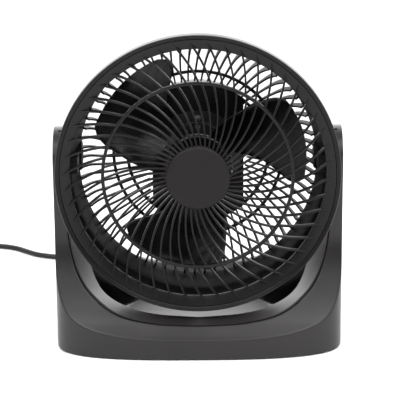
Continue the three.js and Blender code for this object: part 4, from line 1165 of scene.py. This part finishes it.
def cradleColumn(place, deep, mouth, inner, pocket, back, rear):
    # deep pockets open under the strip at both sides of the floor
    hollow = min(max((place - base["pocketAt"]) / 0.4, 0), 1) * (1 - min(max((place - 9.4) / 1.4, 0), 1))
    strip = deep + base["stripDeep"] - base["stripLess"] * (1 - min(place / base["stripEven"], 1))
    side, wide = min(inner.x + 8, 138), min(back.x + 26, 138)
    behind = Vector((back.x, 101, back.y))
    front = Vector((pocket.x, strip + 1.4, pocket.y)).lerp(Vector((side, strip + 1.4, max(inner.y - 16, 12))), hollow)
    middle = front.lerp(behind, 0.4)
    if place < base["pocketAt"]:
        middle = Vector((pocket.x * 0.94, 62, base["floorHigh"]))
    middle = middle.lerp(Vector((side, 80, max(inner.y - 18, 10))), hollow)
    wall = behind.lerp(Vector((wide, 97, max(back.y - 16, 10))), hollow)
    line = [(mouth.x, deep + 0.4, mouth.y), (inner.x, strip, inner.y), front, middle, wall,
            (back.x, 101.5, back.y), (rear.x, 151, rear.y), (rear.x, 160, rear.y)]
    return cutAtRear([Vector(p) for p in line])


def makeCradle():
    lists = [base[name] for name in ("mouthEdge", "innerEdge", "pocketFront", "pocketBack", "rearEdge")]
    fine = [smoothLine([(x, z, 0) for x, z in line], base["parts"]) for line in lists]
    depths = smoothNumbers(base["mouthBack"], base["parts"])
    columns = [cradleColumn(k / base["parts"], depths[k], *points) for k, points in enumerate(zip(*fine))]
    arm = []  # start, end and height of each line across the arm
    for z in (154, 163, 172, 181, 190, 202):
        arm.append((53, readLine(rearFine, z, 1) - 0.9, z))
    pivotDeep, pivotHigh = base["pivot"]
    reach = base["armRadius"] - 0.9
    for i in range(1, 16):
        angle = radians(i * 6 - 1.0)
        across = reach * cos(angle)
        arm.append((pivotDeep - across, pivotDeep + across, pivotHigh + reach * sin(angle)))
    for start, end, z in arm:
        depths = [start] + [min(max(d, start), end) for d in (79, 80.4, 90, 101, 101.5)] + [end, end]
        columns.append([Vector((base["armInner"], d, z)) for d in depths])
    grid = []
    for line in columns:
        soft = softCorners(line, [0, 0.9, 1.0, 8, 4, 8, 3.0, 0], 5)
        grid.append([(p.x, p.y + base["front"], p.z) for p in denser(soft, 2)])
    left = [[(-x, y, z) for x, y, z in column] for column in reversed(grid[1:])]
    form = sheet(left + grid, base["skin"])
    addPiece("cradle_skin", form, "base", "base_black", ["cradle_liner"], smooth=44)


# underside plate, feet and screws
under = {
    "low": 3.0, "high": 5.5, "inset": 3.4, "soft": 0.6,
    "vents": 9, "ventAt": (46, -22), "ventHalf": 17, "ventLong": 2.4, "ventStep": 5.5,
    "feet": [(-112, -46), (112, -46), (-108, 54), (108, 54)],
    "screws": [(-60, -66), (60, -66), (-60, 66), (60, 66)],
}


def planLine(inset, count=40):
    right = []
    turns = [pi / 2 * i / count for i in range(count + 1)]
    for atBack, angles in ((False, turns), (True, turns[::-1])):
        for t in angles:
            x = (base["half"] - inset) * sin(t) ** (2 / base["power"])
            right.append((x, outlineDeep(x, atBack, inset) + base["front"]))
    return right + [(-x, y) for x, y in right[-2:0:-1]]


def makeUnderside():
    inset, soft, low, high = under["inset"], under["soft"], under["low"], under["high"]
    rings = [(inset + soft, low), (inset, low + soft), (inset, high)]
    plate = joined([[(x, y, z) for x, y in planLine(inset)] for inset, z in rings])
    cutters = []
    across, start = under["ventAt"]
    half, long = under["ventHalf"], under["ventLong"]
    for i in range(under["vents"]):
        y = start + i * under["ventStep"]
        cutters += [block((x - half, y, 0), (x + half, y + long, 9)) for x in (-across, across)]
    cutters += [drill(4.6, 0, 3.5, 28, alongZ(x, y)) for x, y in under["screws"]]
    addPiece("bottom_plate", plate, "base", "base_black", ["base_plate"], cutter=mergeForms(cutters))
    for number, (x, y) in enumerate(under["feet"], 1):
        pad = [(0.05, 0.0), (5.2, 0.0), (6.0, 0.5), (7.0, 0.5), (7.8, 0.0), (9, 0.0), (9, 2.7), (4, 2.7),
               (4, 5.9), (0.05, 5.9)]
        soft = softCorners(pad, [0, 0.3, 0.3, 0.3, 0.3, 0.9, 0.3, 0.2, 0.4, 0], 3)
        form = turned(soft, 56, closed=False, place=alongZ(x, y))
        addPiece("foot_pad_%d" % number, form, "base", "foot_rubber", ["foot_%d" % number])
    for number, (x, y) in enumerate(under["screws"], 1):
        top = [(0.05, 1.2), (2.6, 1.3), (3.6, 2.0), (3.6, 2.7), (0.05, 2.7)]
        form = turned(softCorners(top, [0, 0.6, 0.4, 0.1, 0]), 36, closed=False, place=alongZ(x, y))
        cross = [block((x - a, y - b, 0.8), (x + a, y + b, 2.1)) for a, b in ((2, 0.4), (0.4, 2))]
        addPiece("plate_screw_%d" % number, form, "base", "bright_steel", ["base_screw_%d" % number],
                 cutter=mergeForms(cross))


# the lead's ends: ribbed sleeve at the wall, waisted plug with two flat blades
sleeve = {
    "y": 80.0, "z": 16.0,
    # radius, distance behind the wall, rounding
    "profile": [(3.05, -5.9, 0.2), (9, -5.9, 0.4), (9, -3.6, 0.4), (5.9, -3.6, 0.3), (5.9, 0.3, 0.2), (8.4, 0.3, 0.8),
                (8.4, 2.6, 0.8), (6, 4.4, 1.6), (5.5, 11.4, 0.8), (4.3, 11.8, 0.5), (4.3, 14.2, 0.5), (5.2, 14.6, 0.8),
                (4.8, 20.6, 0.8), (3.9, 21, 0.5), (3.9, 23.2, 0.5), (4.7, 23.6, 0.8), (4.2, 34, 0.9), (3.05, 34, 0.3)],
}


def makeSleeve():
    soft = softProfile([(r, sleeve["y"] + y, rounding) for r, y, rounding in sleeve["profile"]])
    form = turned(soft, 64, place=alongY(0, sleeve["z"]))
    return addPiece("lead_sleeve", form, "base", "cord_rubber", ["strain_relief"], smooth=40)


plug = {
    "x": -353.5, "y": 386.9, "z": 6.3, "around": 44, "squareness": 4.6,
    # distance from the lead's end, width, thickness
    "stations": [(-1.6, 6.6, 6.4), (0, 8.6, 8.2), (3, 9.4, 8.8), (7, 11.6, 9.8), (12, 16.4, 11.2), (17, 21.2, 11.9),
                 (22, 24.0, 12.2), (26, 24.6, 12.2), (29.6, 24.6, 12.2), (31.4, 24.0, 11.7), (32.0, 22.6, 10.6)],
    "blades": (-359.85, -347.15), "bladeStart": 419.2, "bladeEnd": 436.2, "bladeHalf": 3.15, "bladeThin": 0.75,
    "bladeHole": 1.4,
}


def makePlug():
    power = 2 / plug["squareness"]
    rings = []
    for reach, wide, thick in smoothLine(plug["stations"], 3):
        ring = []
        for i in range(plug["around"]):
            c, s = cos(tau * i / plug["around"]), sin(tau * i / plug["around"])
            ring.append((plug["x"] + wide / 2 * abs(c) ** power * (1 if c > 0 else -1), plug["y"] + reach,
                         plug["z"] + thick / 2 * abs(s) ** power * (1 if s > 0 else -1)))
        rings.append(ring)
    pieces = [addPiece("plug_form", joined(rings), "base", "cord_vinyl", ["plug_body"], smooth=40)]
    half, thin, end = plug["bladeHalf"], plug["bladeThin"], plug["bladeEnd"]
    line = [(plug["bladeStart"], half), (end - 3, half), (end - 0.8, 2.4), (end, 1.4)]
    side = line + [(y, -rise) for y, rise in reversed(line)]
    for number, x in enumerate(plug["blades"], 1):
        blade = joined([[(across, y, plug["z"] + rise) for y, rise in side] for across in (x - thin, x + thin)])
        hole = drill(plug["bladeHole"], x - 3, x + 3, 24, alongX(1, end - 6, plug["z"]))
        pieces.append(addPiece("plug_pin_%d" % number, blade, "base", "plug_brass", ["plug_blade_%d" % number],
                               cutter=hole))
    return pieces


makeGrille()
makeCap()
makeLipRing()
print("grille, cap and lip ring made")
makeBasket()
makeImpeller()
makeNut()
print("basket and impeller made")
makeCover()
makeKnob()
makeMotor()
print("motor pack made")
makeShell()
makeCradle()
makeUnderside()
print("base made")
leadEnds = [makeSleeve()] + makePlug()
print("lead's ends made")


# studio: a large pale floor under soft light
studio = {
    "floorTone": (0.90, 0.90, 0.90),
    "aim": (0, 0, 0.15),
    # place, size and power of each soft box
    "boxes": {
        "leftBox": ((-0.85, -0.9, 1.5), 0.9, 25),
        "rightBox": ((0.85, -0.9, 1.5), 0.9, 25),
        "frontBox": ((0, -2.0, 1.35), 0.7, 6),
    },
    "reach": 12, "front": 0.05, "back": 3.4, "up": 0.8,
}


def makeFloor(scene):
    mesh = bpy.data.meshes.new("floor")
    reach = studio["reach"]
    corners = [(-reach, -reach, 0), (reach, -reach, 0), (reach, reach, 0), (-reach, reach, 0)]
    mesh.from_pydata(corners, [], [(0, 1, 2, 3)])
    floor = bpy.data.objects.new("floor", mesh)
    scene.collection.objects.link(floor)
    material, tree, shader = newMaterial("floor_pale")
    place = node(tree, "ShaderNodeTexCoord")
    cloud = node(tree, "ShaderNodeTexNoise", Scale=3.0, Detail=2.0)
    tree.links.new(place.outputs["Object"], cloud.inputs["Vector"])
    tone = tuple(v * 0.985 for v in studio["floorTone"])
    tree.links.new(mixColour(tree, cloud.outputs["Fac"], tone, studio["floorTone"]), shader.inputs["Base Color"])
    shader.inputs["Roughness"].default_value = 0.9
    shader.inputs["Specular IOR Level"].default_value = 0.1
    mesh.materials.append(material)


def makeSky(scene):
    # brighter behind the fan and above it, plain white to the camera
    world = scene.world or bpy.data.worlds.new("studio")
    scene.world = world
    world.use_nodes = True
    tree = world.node_tree
    tree.nodes.clear()
    out = tree.nodes.new("ShaderNodeOutputWorld")
    place = node(tree, "ShaderNodeTexCoord")
    split = node(tree, "ShaderNodeSeparateXYZ")
    tree.links.new(place.outputs["Generated"], split.inputs[0])
    across = ranged(tree, split.outputs["Y"], studio["front"], studio["back"], 0.25, 0.92)
    above = ranged(tree, split.outputs["Z"], 0.0, studio["up"], 0.15, 1.0)
    strength = maths(tree, "ADD", across, above)
    soft = node(tree, "ShaderNodeBackground", Color=(1, 1, 1, 1))
    tree.links.new(strength, soft.inputs["Strength"])
    plain = node(tree, "ShaderNodeBackground", Color=(1, 1, 1, 1))
    path = node(tree, "ShaderNodeLightPath")
    choice = tree.nodes.new("ShaderNodeMixShader")
    tree.links.new(path.outputs["Is Camera Ray"], choice.inputs[0])
    tree.links.new(soft.outputs[0], choice.inputs[1])
    tree.links.new(plain.outputs[0], choice.inputs[2])
    tree.links.new(choice.outputs[0], out.inputs["Surface"])


def makeLights(scene):
    for name, (place, size, power) in studio["boxes"].items():
        data = bpy.data.lights.new(name, "AREA")
        data.shape = "SQUARE"
        data.size = size
        data.energy = power
        light = bpy.data.objects.new(name, data)
        light.location = place
        aim = Vector(studio["aim"]) - Vector(place)
        light.rotation_euler = aim.to_track_quat("-Z", "Y").to_euler()
        scene.collection.objects.link(light)


scene = bpy.context.scene
scene.view_settings.view_transform = "Standard"
makeFloor(scene)
makeSky(scene)
makeLights(scene)
print("studio ready")

# finishes on the carried-over nodes
materialOf = {entry["node"]: entry["material_slot"] for entry in frame["record"]["subparts"]}
for name, piece in frame["nodes"].items():
    piece.data.materials.clear()
    piece.data.materials.append(finishes[materialOf[name]])
    for face in piece.data.polygons:
        face.material_index = 0
print("nodes finished:", len(materialOf))
